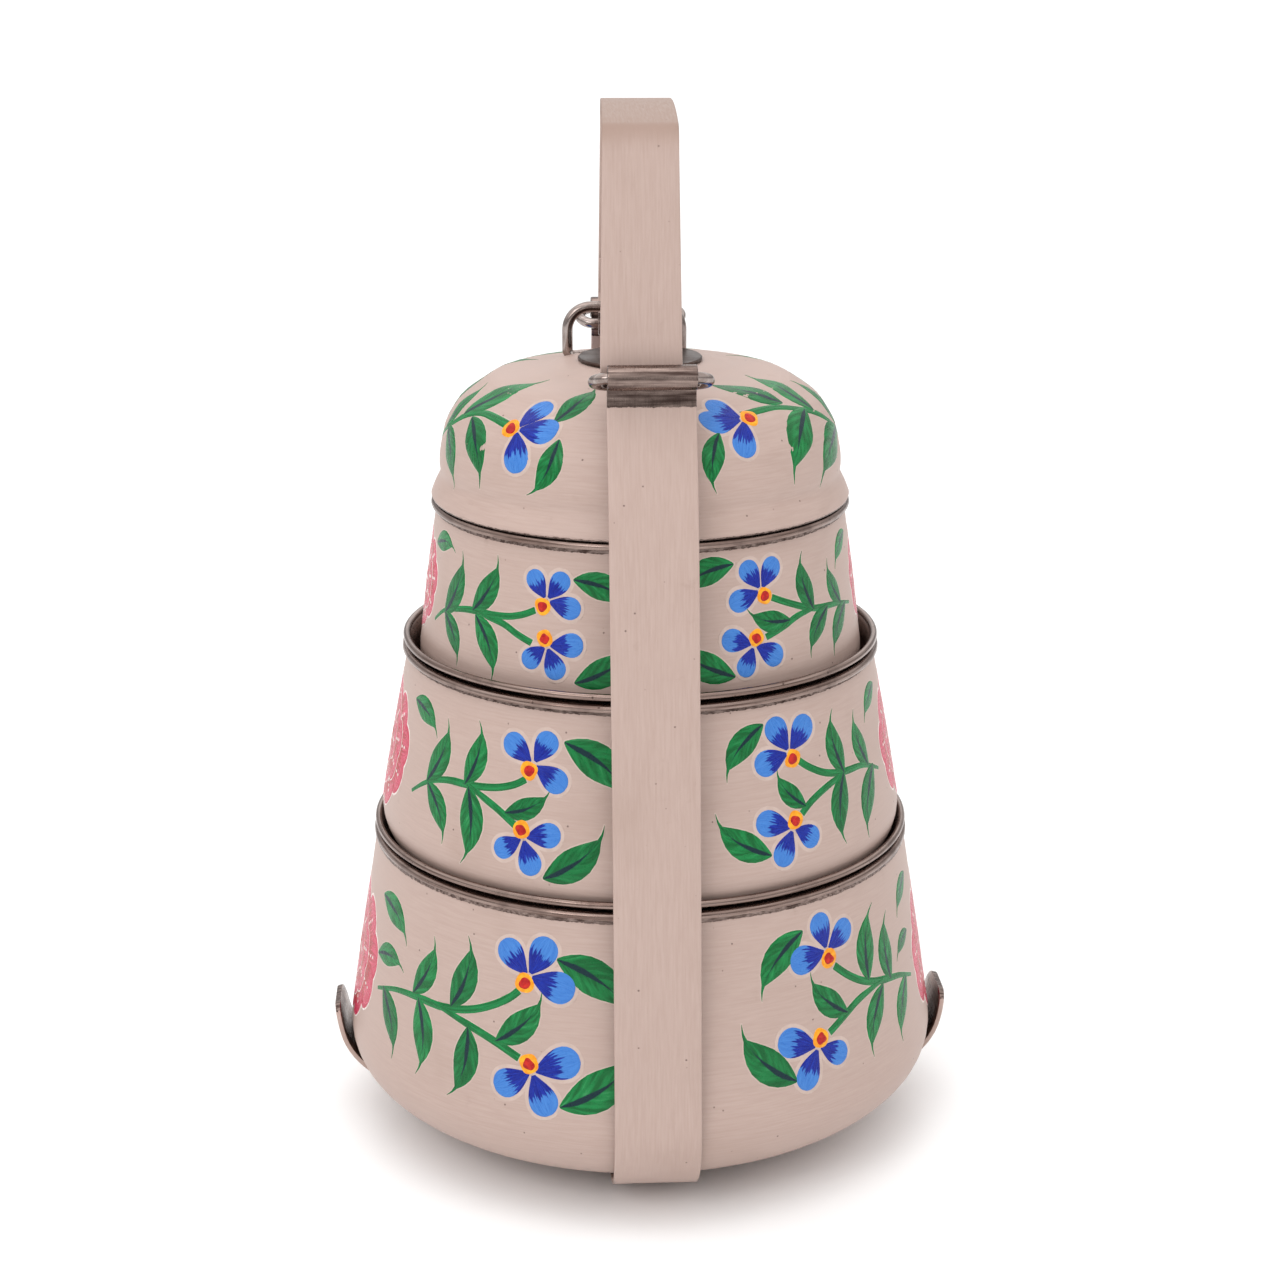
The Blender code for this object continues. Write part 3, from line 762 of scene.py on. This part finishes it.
def bail(material):
    width, height = BAIL_HALF_WIDTH, BAIL_HEIGHT
    low, high = BAIL_FOOT_CORNER, BAIL_CORNER
    loop = arc((width - low, low), low, -90, 0, 8)
    loop += arc((width - high, height - high), high, 0, 90, 16)
    loop += arc((high - width, height - high), high, 90, 180, 16)
    loop += arc((low - width, low), low, 180, 270, 8)
    points = [(BAIL_SHIFT + across, BAIL_PIVOT[0], BAIL_PIVOT[1] + up) for across, up in loop]
    return tube("bail_wire", points, material)


# ---------------------------------------------------------------- painted motifs
class Wall:
    """The painted outside of a turned piece: places on it by angle and distance along its outline."""

    def __init__(self, outline):
        self.radius = np.array([point[0] for point in outline])
        self.height = np.array([point[1] for point in outline])
        lengths = np.hypot(np.diff(self.radius), np.diff(self.height))
        self.down = np.concatenate([[0.0], np.cumsum(lengths)])

    def down_at(self, height):
        return float(np.interp(-height, -self.height, self.down))

    def at(self, angle, down, lift):
        """A point at an angle in radians and a distance down the outline, raised by lift."""
        radius = float(np.interp(down, self.down, self.radius))
        height = float(np.interp(down, self.down, self.height))
        near = 0.0006
        out_before, up_before = (float(np.interp(down - near, self.down, values))
                                 for values in (self.radius, self.height))
        out_after, up_after = (float(np.interp(down + near, self.down, values))
                               for values in (self.radius, self.height))
        along = Vector((out_after - out_before, up_after - up_before)).normalized()
        radius, height = radius - along.y * lift, height + along.x * lift
        return (radius * sin(angle), -radius * cos(angle), height)


class Painting:
    """Collects painted patches on one wall and turns them into one object."""

    def __init__(self, wall):
        self.wall = wall
        self.vertices, self.faces, self.slots, self.data = [], [], [], []
        self.names = []

    def slot(self, colour):
        if colour not in self.names:
            self.names.append(colour)
        return self.names.index(colour)

    def patch(self, colour, origin, grid, lift):
        """A raised patch. Origin is (angle in radians, distance down); grid rows hold (right, up, along,
        across) in mm and shares. The outer ring of the grid is sunk a little into the wall."""
        slot, first, seed = self.slot(colour), len(self.vertices), random.random()
        rows, columns = len(grid), len(grid[0])
        for i, row in enumerate(grid):
            for j, (right, up, along, across) in enumerate(row):
                edge = i in (0, rows - 1) or j in (0, columns - 1)
                down = origin[1] - up * MM
                radius = float(np.interp(down, self.wall.down, self.wall.radius))
                angle = origin[0] + right * MM / radius
                self.vertices.append(self.wall.at(angle, down, -EDGE_DEPTH if edge else lift))
                self.data.append((along, across, seed))
        for i in range(rows - 1):
            for j in range(columns - 1):
                a = first + i * columns + j
                self.faces.append((a, a + columns, a + columns + 1, a + 1))
                self.slots.append(slot)

    def blade(self, colour, origin, spine, half_width, lift, grow=0.0, rows=15, across=7):
        """Patch along a spine of (right, up) in mm, grown on every side by grow in mm."""
        places = [Vector(point) for point in spline(spine, 8)]
        core = sum((end - start).length for start, end in zip(places, places[1:]))
        samples = np.linspace(0.0, 1.0, 70)
        sizes = np.array([half_width(sample) for sample in samples])

        def grown_width(distance):
            reach = grow ** 2 - (distance - samples * core) ** 2
            return float(np.max(np.where(reach >= 0, sizes + np.sqrt(np.maximum(reach, 0)), 0)))

        if grow:
            first = (places[0] - places[1]).normalized()
            last = (places[-1] - places[-2]).normalized()
            places = [places[0] + first * grow] + places + [places[-1] + last * grow]
        lengths = [0.0]
        for start, end in zip(places, places[1:]):
            lengths.append(lengths[-1] + (end - start).length)
        total = lengths[-1]
        inner = 0.5 - 0.5 * np.cos(np.linspace(0, pi, rows))
        shares = [0.0] + [0.008 + 0.984 * share for share in inner] + [1.0]
        sides = [-1.0] + [float(side) for side in np.linspace(-0.90, 0.90, across)] + [1.0]
        xs = np.interp([share * total for share in shares], lengths, [place.x for place in places])
        ys = np.interp([share * total for share in shares], lengths, [place.y for place in places])
        grid = []
        for index, share in enumerate(shares):
            before, after = max(index - 1, 0), min(index + 1, len(shares) - 1)
            along = Vector((xs[after] - xs[before], ys[after] - ys[before])).normalized()
            own = min(1.0, max(0.0, (share * total - grow) / core))
            width = (grown_width(share * total - grow) if grow else half_width(own)) + 0.02
            row = []
            for side in sides:
                row.append((xs[index] + along.y * side * width, ys[index] - along.x * side * width,
                            own, side))
            grid.append(row)
        self.patch(colour, origin, grid, lift)

    def disc(self, colour, origin, centre, radius, lift, uneven=0.06):
        """Round patch with a slightly uneven edge."""
        spokes, rings = 28, 3
        slot, first, seed = self.slot(colour), len(self.vertices), random.random()
        bumps = [random.uniform(-uneven, uneven) for _ in range(3)]
        shares = [0.0] + [0.93 * (ring + 1) / rings for ring in range(rings)] + [1.0]
        for ring, share in enumerate(shares):
            for spoke in range(1 if ring == 0 else spokes):
                turn = 2 * pi * spoke / spokes
                size = radius * (1 + sum(b * sin((k + 2) * turn + 5 * b) for k, b in enumerate(bumps)))
                right, up = centre[0] + size * share * cos(turn), centre[1] + size * share * sin(turn)
                down = origin[1] - up * MM
                wall_radius = float(np.interp(down, self.wall.down, self.wall.radius))
                raised = -EDGE_DEPTH if ring == len(shares) - 1 else lift
                self.vertices.append(self.wall.at(origin[0] + right * MM / wall_radius, down, raised))
                self.data.append((share, 0.0, seed))
        for spoke in range(spokes):
            after = (spoke + 1) % spokes
            self.faces.append((first, first + 1 + spoke, first + 1 + after))
            self.slots.append(slot)
            for ring in range(len(shares) - 2):
                low, high = first + 1 + ring * spokes, first + 1 + (ring + 1) * spokes
                self.faces.append((low + spoke, high + spoke, high + after, low + after))
                self.slots.append(slot)

    def make(self, name, body, colours):
        mesh = mesh_from(name, self.vertices, self.faces)
        made = new_object(name, mesh, [colours[colour] for colour in self.names])
        mesh.polygons.foreach_set("material_index", self.slots)
        stroke = mesh.attributes.new("stroke", "FLOAT_VECTOR", "POINT")
        stroke.data.foreach_set("vector", np.array(self.data, np.float32).ravel())
        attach(made, body)
        return made

    # -------- motifs, placed by (angle in degrees, height in mm)
    def origin(self, place):
        return (radians(place[0]), self.wall.down_at(place[1] * MM))

    def between(self, start, end):
        """(right, up) in mm from one place on the wall to another."""
        first, last = self.origin(start), self.origin(end)
        radii = [float(np.interp(down, self.wall.down, self.wall.radius)) for down in (first[1], last[1])]
        return ((last[0] - first[0]) * sum(radii) / 2 / MM, (first[1] - last[1]) / MM)

    def leaf(self, base, tip, hook):
        """Leaf from its stalk to its tip; hook bends the drawn-out tip to one side."""
        right, up = self.between(base, tip)
        size = hypot(right, up)
        width = LEAF_WIDTH * size
        side = Vector((up, -right)) / size * hook
        spine = []
        for share, bow in LEAF_BOWS:
            spine.append((right * share + side.x * bow * size, up * share + side.y * bow * size))

        def half_width(share):
            body = sin(pi * min(1.0, share / 0.83) ** 0.95) ** 0.85 if share < 0.83 else 0.0
            tail = 0.16 * max(0.0, 1 - share) / 0.3 if share > 0.7 else 0.0
            return width * max(body, tail, 0.05 * (1 - share))

        origin = self.origin(base)
        self.blade("halo", origin, spine, half_width, HALO_LIFT["leaf"], grow=0.32)
        self.blade("leaf", origin, spine, half_width, LIFT["leaf"])

    def stem(self, places, width):
        """Stem that widens from its first place."""
        start = places[0]
        spine = [self.between(start, place) for place in places]

        def half_width(share):
            return width * (0.45 + 0.55 * min(1.0, share * 2.2))

        origin = self.origin(start)
        rows = max(14, 5 * len(places))
        self.blade("halo", origin, spine, half_width, HALO_LIFT["stem"], grow=0.30, rows=rows, across=3)
        self.blade("stem", origin, spine, half_width, LIFT["stem"], rows=rows, across=4)

    def petal_blades(self, petals, scale):
        rays = [Vector((cos(radians(direction)), sin(radians(direction)))) for direction, _ in petals]
        middle = sum(rays, Vector((0, 0))).normalized() * 2.1 * scale
        for ray, (_, length) in zip(rays, petals):
            tip = ray * length * 1.10
            along = (tip - middle).normalized()
            root = middle + along * 0.90
            reach = (tip - root).length
            bend = random.uniform(-0.03, 0.03) * reach
            spine = []
            for share in (0.0, 0.33, 0.66, 1.0):
                sideways = Vector((-along.y, along.x)) * bend * sin(pi * share)
                spine.append(tuple(root.lerp(tip, share) + sideways))
            width = (0.365 + random.uniform(-0.015, 0.015)) * reach

            def half_width(share, width=width):
                if share < 0.66:
                    return width * (0.13 + 0.87 * sin(pi / 2 * share / 0.66) ** 1.10)
                return width * sqrt(max(0.0, 1 - ((share - 0.66) / 0.34) ** 2))

            yield spine, half_width

    def flower(self, place, petals, scale=1.0):
        """Blue flower: petals are (direction in degrees from the right, length from the centre in mm)."""
        origin = self.origin(place)
        blades = list(self.petal_blades(petals, scale))
        for spine, half_width in blades:
            self.blade("halo", origin, spine, half_width, HALO_LIFT["petal"], grow=0.95)
        for spine, half_width in blades:
            self.blade("petal", origin, spine, half_width, LIFT["petal"])
        self.disc("amber", origin, (0, 0), 2.70 * scale, LIFT["amber"])
        self.disc("ruby", origin, (random.uniform(-0.15, 0.15), -0.1), 1.62 * scale, LIFT["ruby"], 0.10)

    def carnation(self, place, width, height):
        """Layered pink flower head with fringed lobes, thin white outlines and dotted lines."""
        origin = self.origin(place)
        for count, outer, inner, lift in CARNATION_LAYERS:
            for lobe in range(count):
                turn = 2 * pi * (lobe + 0.35 * (count % 2)) / count + random.uniform(-0.04, 0.04)
                along = Vector((cos(turn) * width, sin(turn) * height))
                reach = outer * random.uniform(0.95, 1.03)
                spine = [tuple(along * (inner + (reach - inner) * share)) for share in (0.0, 0.5, 1.0)]
                spread = 1.16 * pi * reach * (width + height) / 2 / count

                def half_width(share, spread=spread):
                    flare = 0.45 + 0.55 * min(1.0, share / 0.7)
                    edge = sqrt(max(0.0, 1 - max(0.0, (share - 0.62) / 0.38) ** 2))
                    return spread * flare * edge

                self.blade("white", origin, spine, half_width, lift, grow=0.38, rows=11, across=7)
                self.blade("lobe", origin, spine, half_width, lift + OVER_OUTLINE, rows=13, across=9)
                for dot in range(6):
                    share = inner + (reach - inner) * (0.10 + 0.13 * dot)
                    self.disc("white", origin, tuple(along * share), 0.46, lift + 2 * OVER_OUTLINE, 0.0)
        self.disc("ruby", origin, (0, 0), 0.13 * width, CARNATION_HEART_LIFT, 0.12)


# Sprays: flowers as (place, petals), stems as places, leaves as (stalk, tip, hook)
BOTTOM_LEFT = dict(
    flowers=[((-26.1, 62.8), [(124, 11.0), (63, 12.6), (-4, 12.2)]),
             ((-24.3, 42.4), [(13, 12.4), (-64, 12.8), (-141, 11.0)])],
    stems=[[(-68.0, 45.6), (-59.7, 49.2), (-52.0, 50.6), (-44.9, 51.0), (-38.3, 52.7), (-33.4, 55.3),
            (-29.7, 58.3), (-27.7, 60.8)],
           [(-47.5, 51.0), (-44.2, 50.5), (-38.0, 48.8), (-31.9, 46.5), (-26.1, 43.4)]],
    leaves=[((-53.3, 52.0), (-47.7, 66.8), 1), ((-42.3, 53.0), (-38.2, 70.3), 1),
            ((-64.6, 46.7), (-57.2, 32.4), -1), ((-51.6, 49.5), (-48.8, 31.6), -1),
            ((-38.0, 47.0), (-40.0, 29.0), -1), ((-30.9, 47.2), (-21.6, 59.6), 1),
            ((-18.6, 69.4), (-4.0, 58.0), -1), ((-17.0, 33.2), (-3.0, 47.0), 1),
            ((-69.8, 70.2), (-57.2, 64.0), -1), ((-69.0, 54.8), (-58.0, 56.4), -1)])
BOTTOM_RIGHT = dict(
    flowers=[((37.2, 64.3), [(104, 11.6), (40, 10.4), (172, 11.4)]),
             ((33.3, 44.6), [(171, 12.0), (-118, 12.6), (-38, 9.9)])],
    stems=[[(67.4, 46.2), (61.0, 49.4), (56.2, 51.0), (50.7, 52.7), (46.1, 55.0), (42.1, 58.3), (38.8, 62.0)],
           [(53.5, 51.8), (50.2, 51.7), (44.6, 50.6), (40.1, 48.2), (35.4, 45.2)]],
    leaves=[((48.3, 55.2), (50.6, 73.2), -1), ((56.4, 51.5), (56.2, 68.4), -1),
            ((52.6, 50.0), (46.0, 35.2), 1), ((63.6, 47.4), (57.2, 33.6), 1),
            ((40.3, 49.2), (31.4, 60.6), -1), ((30.3, 72.6), (19.6, 59.8), 1),
            ((26.4, 36.2), (15.4, 50.6), -1), ((71.8, 72.4), (62.6, 65.8), 1),
            ((67.6, 58.4), (60.0, 54.8), 1)])
MIDDLE_LEFT = dict(
    flowers=[((-28.3, 115.8), [(134, 9.6), (59, 10.6), (-19, 9.8)]),
             ((-29.1, 100.9), [(-137, 9.0), (-68, 10.8), (-1, 9.8)])],
    stems=[[(-64.4, 101.0), (-57.8, 105.7), (-50.8, 108.3), (-43.8, 108.9), (-36.8, 110.0), (-32.3, 111.6),
            (-29.4, 113.6)],
           [(-46.0, 109.0), (-43.4, 108.6), (-38.4, 106.4), (-34.4, 104.3), (-30.4, 101.6)]],
    leaves=[((-57.7, 106.7), (-51.6, 122.2), 1), ((-44.8, 109.6), (-41.2, 124.6), 1),
            ((-57.2, 105.0), (-48.8, 93.4), -1), ((-43.7, 107.4), (-42.2, 89.4), -1),
            ((-32.8, 104.6), (-22.6, 110.4), 1), ((-19.2, 123.2), (-4.0, 111.0), -1),
            ((-22.6, 90.2), (-10.0, 102.0), 1), ((-68.4, 123.8), (-56.0, 119.2), -1)])
MIDDLE_RIGHT = dict(
    flowers=[((32.9, 116.7), [(117, 11.4), (57, 10.6), (-176, 10.4)]),
             ((31.9, 101.3), [(172, 10.6), (-118, 11.2), (-46, 8.9)])],
    stems=[[(65.4, 104.4), (57.0, 108.2), (48.7, 109.2), (42.5, 110.7), (37.8, 113.4), (34.8, 116.0)],
           [(51.5, 109.2), (48.2, 108.8), (42.0, 107.2), (37.0, 105.0), (33.6, 102.4)]],
    leaves=[((48.4, 109.8), (45.6, 125.2), -1), ((59.2, 108.1), (54.6, 122.2), -1),
            ((48.1, 108.2), (44.6, 92.0), 1), ((61.5, 106.0), (53.6, 91.0), 1),
            ((34.7, 104.6), (27.6, 114.0), -1), ((25.0, 126.0), (14.8, 115.2), 1),
            ((24.4, 94.4), (12.4, 104.2), -1), ((70.6, 125.2), (60.4, 119.6), 1)])
TOP_LEFT = dict(
    flowers=[((-28.8, 155.7), [(114, 8.6), (57, 9.6), (-3, 9.2)]),
             ((-27.8, 147.8), [(-4, 9.4), (-66, 9.8), (-126, 8.4)])],
    stems=[[(-71.5, 144.0), (-65.6, 147.9), (-59.0, 149.8), (-53.3, 150.9), (-48.0, 151.2), (-43.3, 151.4),
            (-38.7, 151.9), (-34.7, 153.0), (-31.2, 154.6)],
           [(-50.0, 151.0), (-46.0, 150.4), (-40.4, 149.7), (-35.8, 147.8), (-31.2, 146.2)]],
    leaves=[((-64.4, 148.2), (-57.0, 163.6), 1), ((-51.3, 151.7), (-42.6, 165.0), 1),
            ((-64.2, 147.3), (-55.2, 137.0), -1), ((-49.8, 149.5), (-41.4, 136.0), -1),
            ((-19.6, 162.8), (-4.0, 157.6), -1), ((-18.4, 138.0), (-4.0, 147.0), 1),
            ((-76.0, 163.4), (-62.8, 165.0), -1)])
TOP_RIGHT = dict(
    flowers=[((30.6, 157.3), [(122, 9.8), (63, 9.0), (-174, 9.4)]),
             ((27.3, 147.2), [(174, 8.8), (-117, 9.4), (-42, 9.2)])],
    stems=[[(70.0, 147.4), (63.0, 149.0), (56.5, 150.0), (47.7, 151.1), (39.2, 154.0), (33.1, 156.6)],
           [(50.5, 151.2), (47.2, 151.0), (41.3, 150.4), (36.2, 148.7), (30.0, 146.9)]],
    leaves=[((47.6, 151.5), (43.4, 165.4), -1), ((62.2, 149.6), (55.6, 161.0), -1),
            ((53.9, 149.8), (44.0, 140.2), 1), ((65.2, 148.2), (54.4, 138.4), 1),
            ((37.8, 150.0), (24.8, 153.4), -1), ((20.8, 166.0), (5.0, 160.6), 1),
            ((19.8, 138.8), (5.0, 148.0), -1), ((71.6, 165.6), (60.6, 159.6), 1)])
LID_LEFT = dict(
    flowers=[((-45.4, 197.4), [(57, 10.6), (3, 12.6), (-63, 11.2)])],
    stems=[[(-90.0, 188.6), (-81.2, 192.6), (-72.4, 196.9), (-63.8, 198.9), (-56.0, 198.7), (-49.0, 197.9)]],
    leaves=[((-71.8, 197.9), (-57.0, 205.9), 1), ((-83.0, 193.0), (-80.4, 203.2), 1),
            ((-65.1, 196.8), (-50.8, 183.6), -1), ((-79.2, 192.4), (-66.0, 180.6), -1),
            ((-30.6, 200.4), (-24.0, 205.9), 1), ((-27.6, 195.6), (-33.6, 182.2), -1)])
LID_RIGHT = dict(
    flowers=[((33.8, 200.1), [(140, 10.0), (180, 12.6), (-122, 11.0)])],
    stems=[[(87.0, 187.6), (81.5, 190.4), (72.0, 195.6), (63.1, 198.8), (50.7, 201.1), (37.0, 200.9)]],
    leaves=[((52.3, 201.9), (34.4, 206.2), -1), ((66.0, 198.9), (62.0, 206.0), -1),
            ((60.0, 198.6), (41.2, 185.6), 1), ((79.0, 191.4), (56.0, 183.0), 1),
            ((20.4, 197.2), (15.8, 184.8), 1), ((82.0, 193.0), (80.0, 203.8), 1)])


def paint_spray(painting, spray, turn, scale):
    """Draws a spray, turned round the vertical axis by an angle in degrees."""
    def turned_place(place):
        return (place[0] + turn, place[1])

    for places in spray["stems"]:
        painting.stem([turned_place(place) for place in places], STEM_WIDTH * scale)
    for base, tip, hook in spray["leaves"]:
        painting.leaf(turned_place(base), turned_place(tip), hook)
    for place, petals in spray["flowers"]:
        painting.flower(turned_place(place), petals, scale)


def decorate(colours):
    walls = {name: Wall(tier_outside(tier)[:-1]) for name, tier in TIERS.items()}
    walls["lid"] = Wall(lid_outside()[1:])
    plans = {
        "bottom_bowl": ((BOTTOM_LEFT, BOTTOM_RIGHT), 1.0, (48.0, 27.5, 20.5)),
        "middle_bowl": ((MIDDLE_LEFT, MIDDLE_RIGHT), 0.92, (107.5, 25.5, 17.5)),
        "top_bowl": ((TOP_LEFT, TOP_RIGHT), 0.84, (151.5, 17.0, 13.5)),
        "lid": ((LID_LEFT, LID_RIGHT), 0.98, None),
    }
    for body, (sprays, scale, head) in plans.items():
        painting = Painting(walls[body])
        for turn in (0.0, 180.0):
            for spray in sprays:
                paint_spray(painting, spray, turn, scale)
        if head:
            height, wide, tall = head
            for turn in (-90.0, 90.0):
                painting.carnation((turn, height), wide, tall)
        painting.make(body + "_painting", body, colours)


# ---------------------------------------------------------------- assembly
def place(piece, body, slot, node):
    """The piece rides on the body and stands in for the CAD node. The slot is not used."""
    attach(piece, body)
    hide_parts(node)


def build():
    spun = (30.0, 30.0, 2600.0)
    inside = steel("inside_steel", (40.0, 40.0, 1500.0))
    rim = steel("rim_steel", spun, rough=(0.16, 0.30))
    wire = steel("wire_steel", (160.0, 900.0, 160.0), (0.215, 0.165, 0.148), (0.42, 0.36, 0.335),
                 (0.14, 0.26))
    for name, tier in TIERS.items():
        line = tier["wall_top"][1] - PAINT_LINE_DROP
        coat = paint(name + "_enamel", (110.0, 110.0, 1900.0), edge=(line, 1))
        place(bowl(name, [coat, inside]), name, "bowl_paint", name)
    tiers = list(TIERS.values())
    for name, below, above in zip(("lower_cover", "upper_cover"), tiers, tiers[1:]):
        place(cover(name, below, above, rim), name, "bare_steel", name)
    lid_coat = paint("lid_enamel", (110.0, 110.0, 1900.0), edge=(LID_SKIRT[-1][1] + 0.0003, -1))
    place(lid_shell([lid_coat, inside]), "lid", "bowl_paint", "lid")
    place(bail(wire), "lid_bail", "wire_steel", "lid_bail")

    foot_chips = [((inner, -0.09, -0.001), (inner + 0.0025, 0.09, 0.0135)) for inner in (0.0100, -0.0125)]
    upright_coat = paint("strap_enamel", (1900.0, 150.0, 110.0), edge=(BARREL[1] - 0.0074, 1),
                         worn=foot_chips)
    cross_coat = paint("ear_enamel", (150.0, 1900.0, 110.0),
                       worn=[((-0.090, -0.012, 0.0285), (0.090, 0.012, 0.0330))])
    # The handle's crown is painted browner, as a painted shade of its bend
    handle_coat = paint("handle_enamel", (1900.0, 150.0, 110.0), edge=(link_bar()[1] + 0.0034, -1),
                        crown_shade=(0.2650, 0.2725))
    for name, side in (("front", -1), ("back", 1)):
        strap = long_strap(name + "_strap", side, upright_coat)
        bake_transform(strap)
        nodes = [name + "_upright"] + (["base_strap"] if side < 0 else [])
        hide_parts(*nodes)
        place(link(name + "_wire_link", side, wire), name + "_link" if side < 0 else "handle",
              "wire_steel", name + "_link")
    place(short_strap(cross_coat, rim), "carrier_base", "strap_paint", "cross_strap")
    place(handle(handle_coat), "handle", "strap_paint", "handle_band")
    for node in ("base_rivet_left", "base_rivet_right"):
        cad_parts[node].data.materials[0] = inside
    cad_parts["lid_disc"].data.materials[0] = steel(
        "disc_steel", (500.0, 60.0, 500.0), (0.050, 0.027, 0.021), (0.085, 0.054, 0.044), (0.30, 0.48))
    decorate(make_colours())


def light(name, place_at, size, power, colour=(1.0, 1.0, 1.0)):
    data = bpy.data.lights.new(name, "AREA")
    data.shape = "RECTANGLE"
    data.size, data.size_y = size
    data.energy = power
    data.color = colour
    lamp = bpy.data.objects.new(name, data)
    lamp.location = place_at
    aim = Vector((0, 0, 0.12)) - Vector(place_at)
    lamp.rotation_euler = aim.to_track_quat("-Z", "Y").to_euler()
    bpy.context.scene.collection.objects.link(lamp)


def studio():
    s = Shader("floor")
    grain = s.noise(s.place, 60.0, 3.0)
    floor_colour = s.mix(grain, (0.93, 0.93, 0.93), (0.95, 0.95, 0.95))
    floor_material = s.finish(Base_Color=floor_colour, Roughness=0.6)
    size = 14.0
    mesh = bpy.data.meshes.new("floor")
    corners = [(-size, -size, FLOOR), (size, -size, FLOOR), (size, size, FLOOR), (-size, size, FLOOR)]
    mesh.from_pydata(corners, [], [(0, 1, 2, 3)])
    floor = new_object("floor", mesh, [floor_material])
    world = bpy.data.worlds.new("studio")
    world.use_nodes = True
    nodes, links = world.node_tree.nodes, world.node_tree.links
    direction = nodes.new("ShaderNodeTexCoord").outputs["Generated"]
    parts = nodes.new("ShaderNodeSeparateXYZ")
    links.new(direction, parts.inputs[0])
    rise = nodes.new("ShaderNodeMapRange")
    rise.interpolation_type = "SMOOTHSTEP"
    for socket, value in zip(rise.inputs[1:5], (0.10, 0.62, 0.50, 1.36)):
        socket.default_value = value
    links.new(parts.outputs[2], rise.inputs[0])
    links.new(rise.outputs[0], nodes["Background"].inputs["Strength"])
    nodes["Background"].inputs["Color"].default_value = (1.0, 1.0, 1.0, 1.0)
    bpy.context.scene.world = world
    light("key", (-0.60, -0.85, 0.75), (0.5, 0.5), 2.2)
    light("fill", (0.80, -0.65, 0.45), (0.7, 0.7), 0.2)
    light("top", (-0.1, -0.05, 1.00), (0.7, 0.7), 1.6)
    light("back", (0.1, 0.95, 0.60), (0.8, 0.6), 0.6)


def camera():
    data = bpy.data.cameras.new("camera")
    data.sensor_width = 36.0
    data.lens = CAMERA_LENS
    data.clip_start = 0.01
    made = bpy.data.objects.new("camera", data)
    made.location = CAMERA_PLACE
    made.rotation_euler = (radians(90 - CAMERA_TILT), 0, radians(CAMERA_TURN))
    bpy.context.scene.collection.objects.link(made)
    bpy.context.scene.camera = made


build()
studio()
camera()
bpy.context.scene.view_settings.view_transform = "Standard"
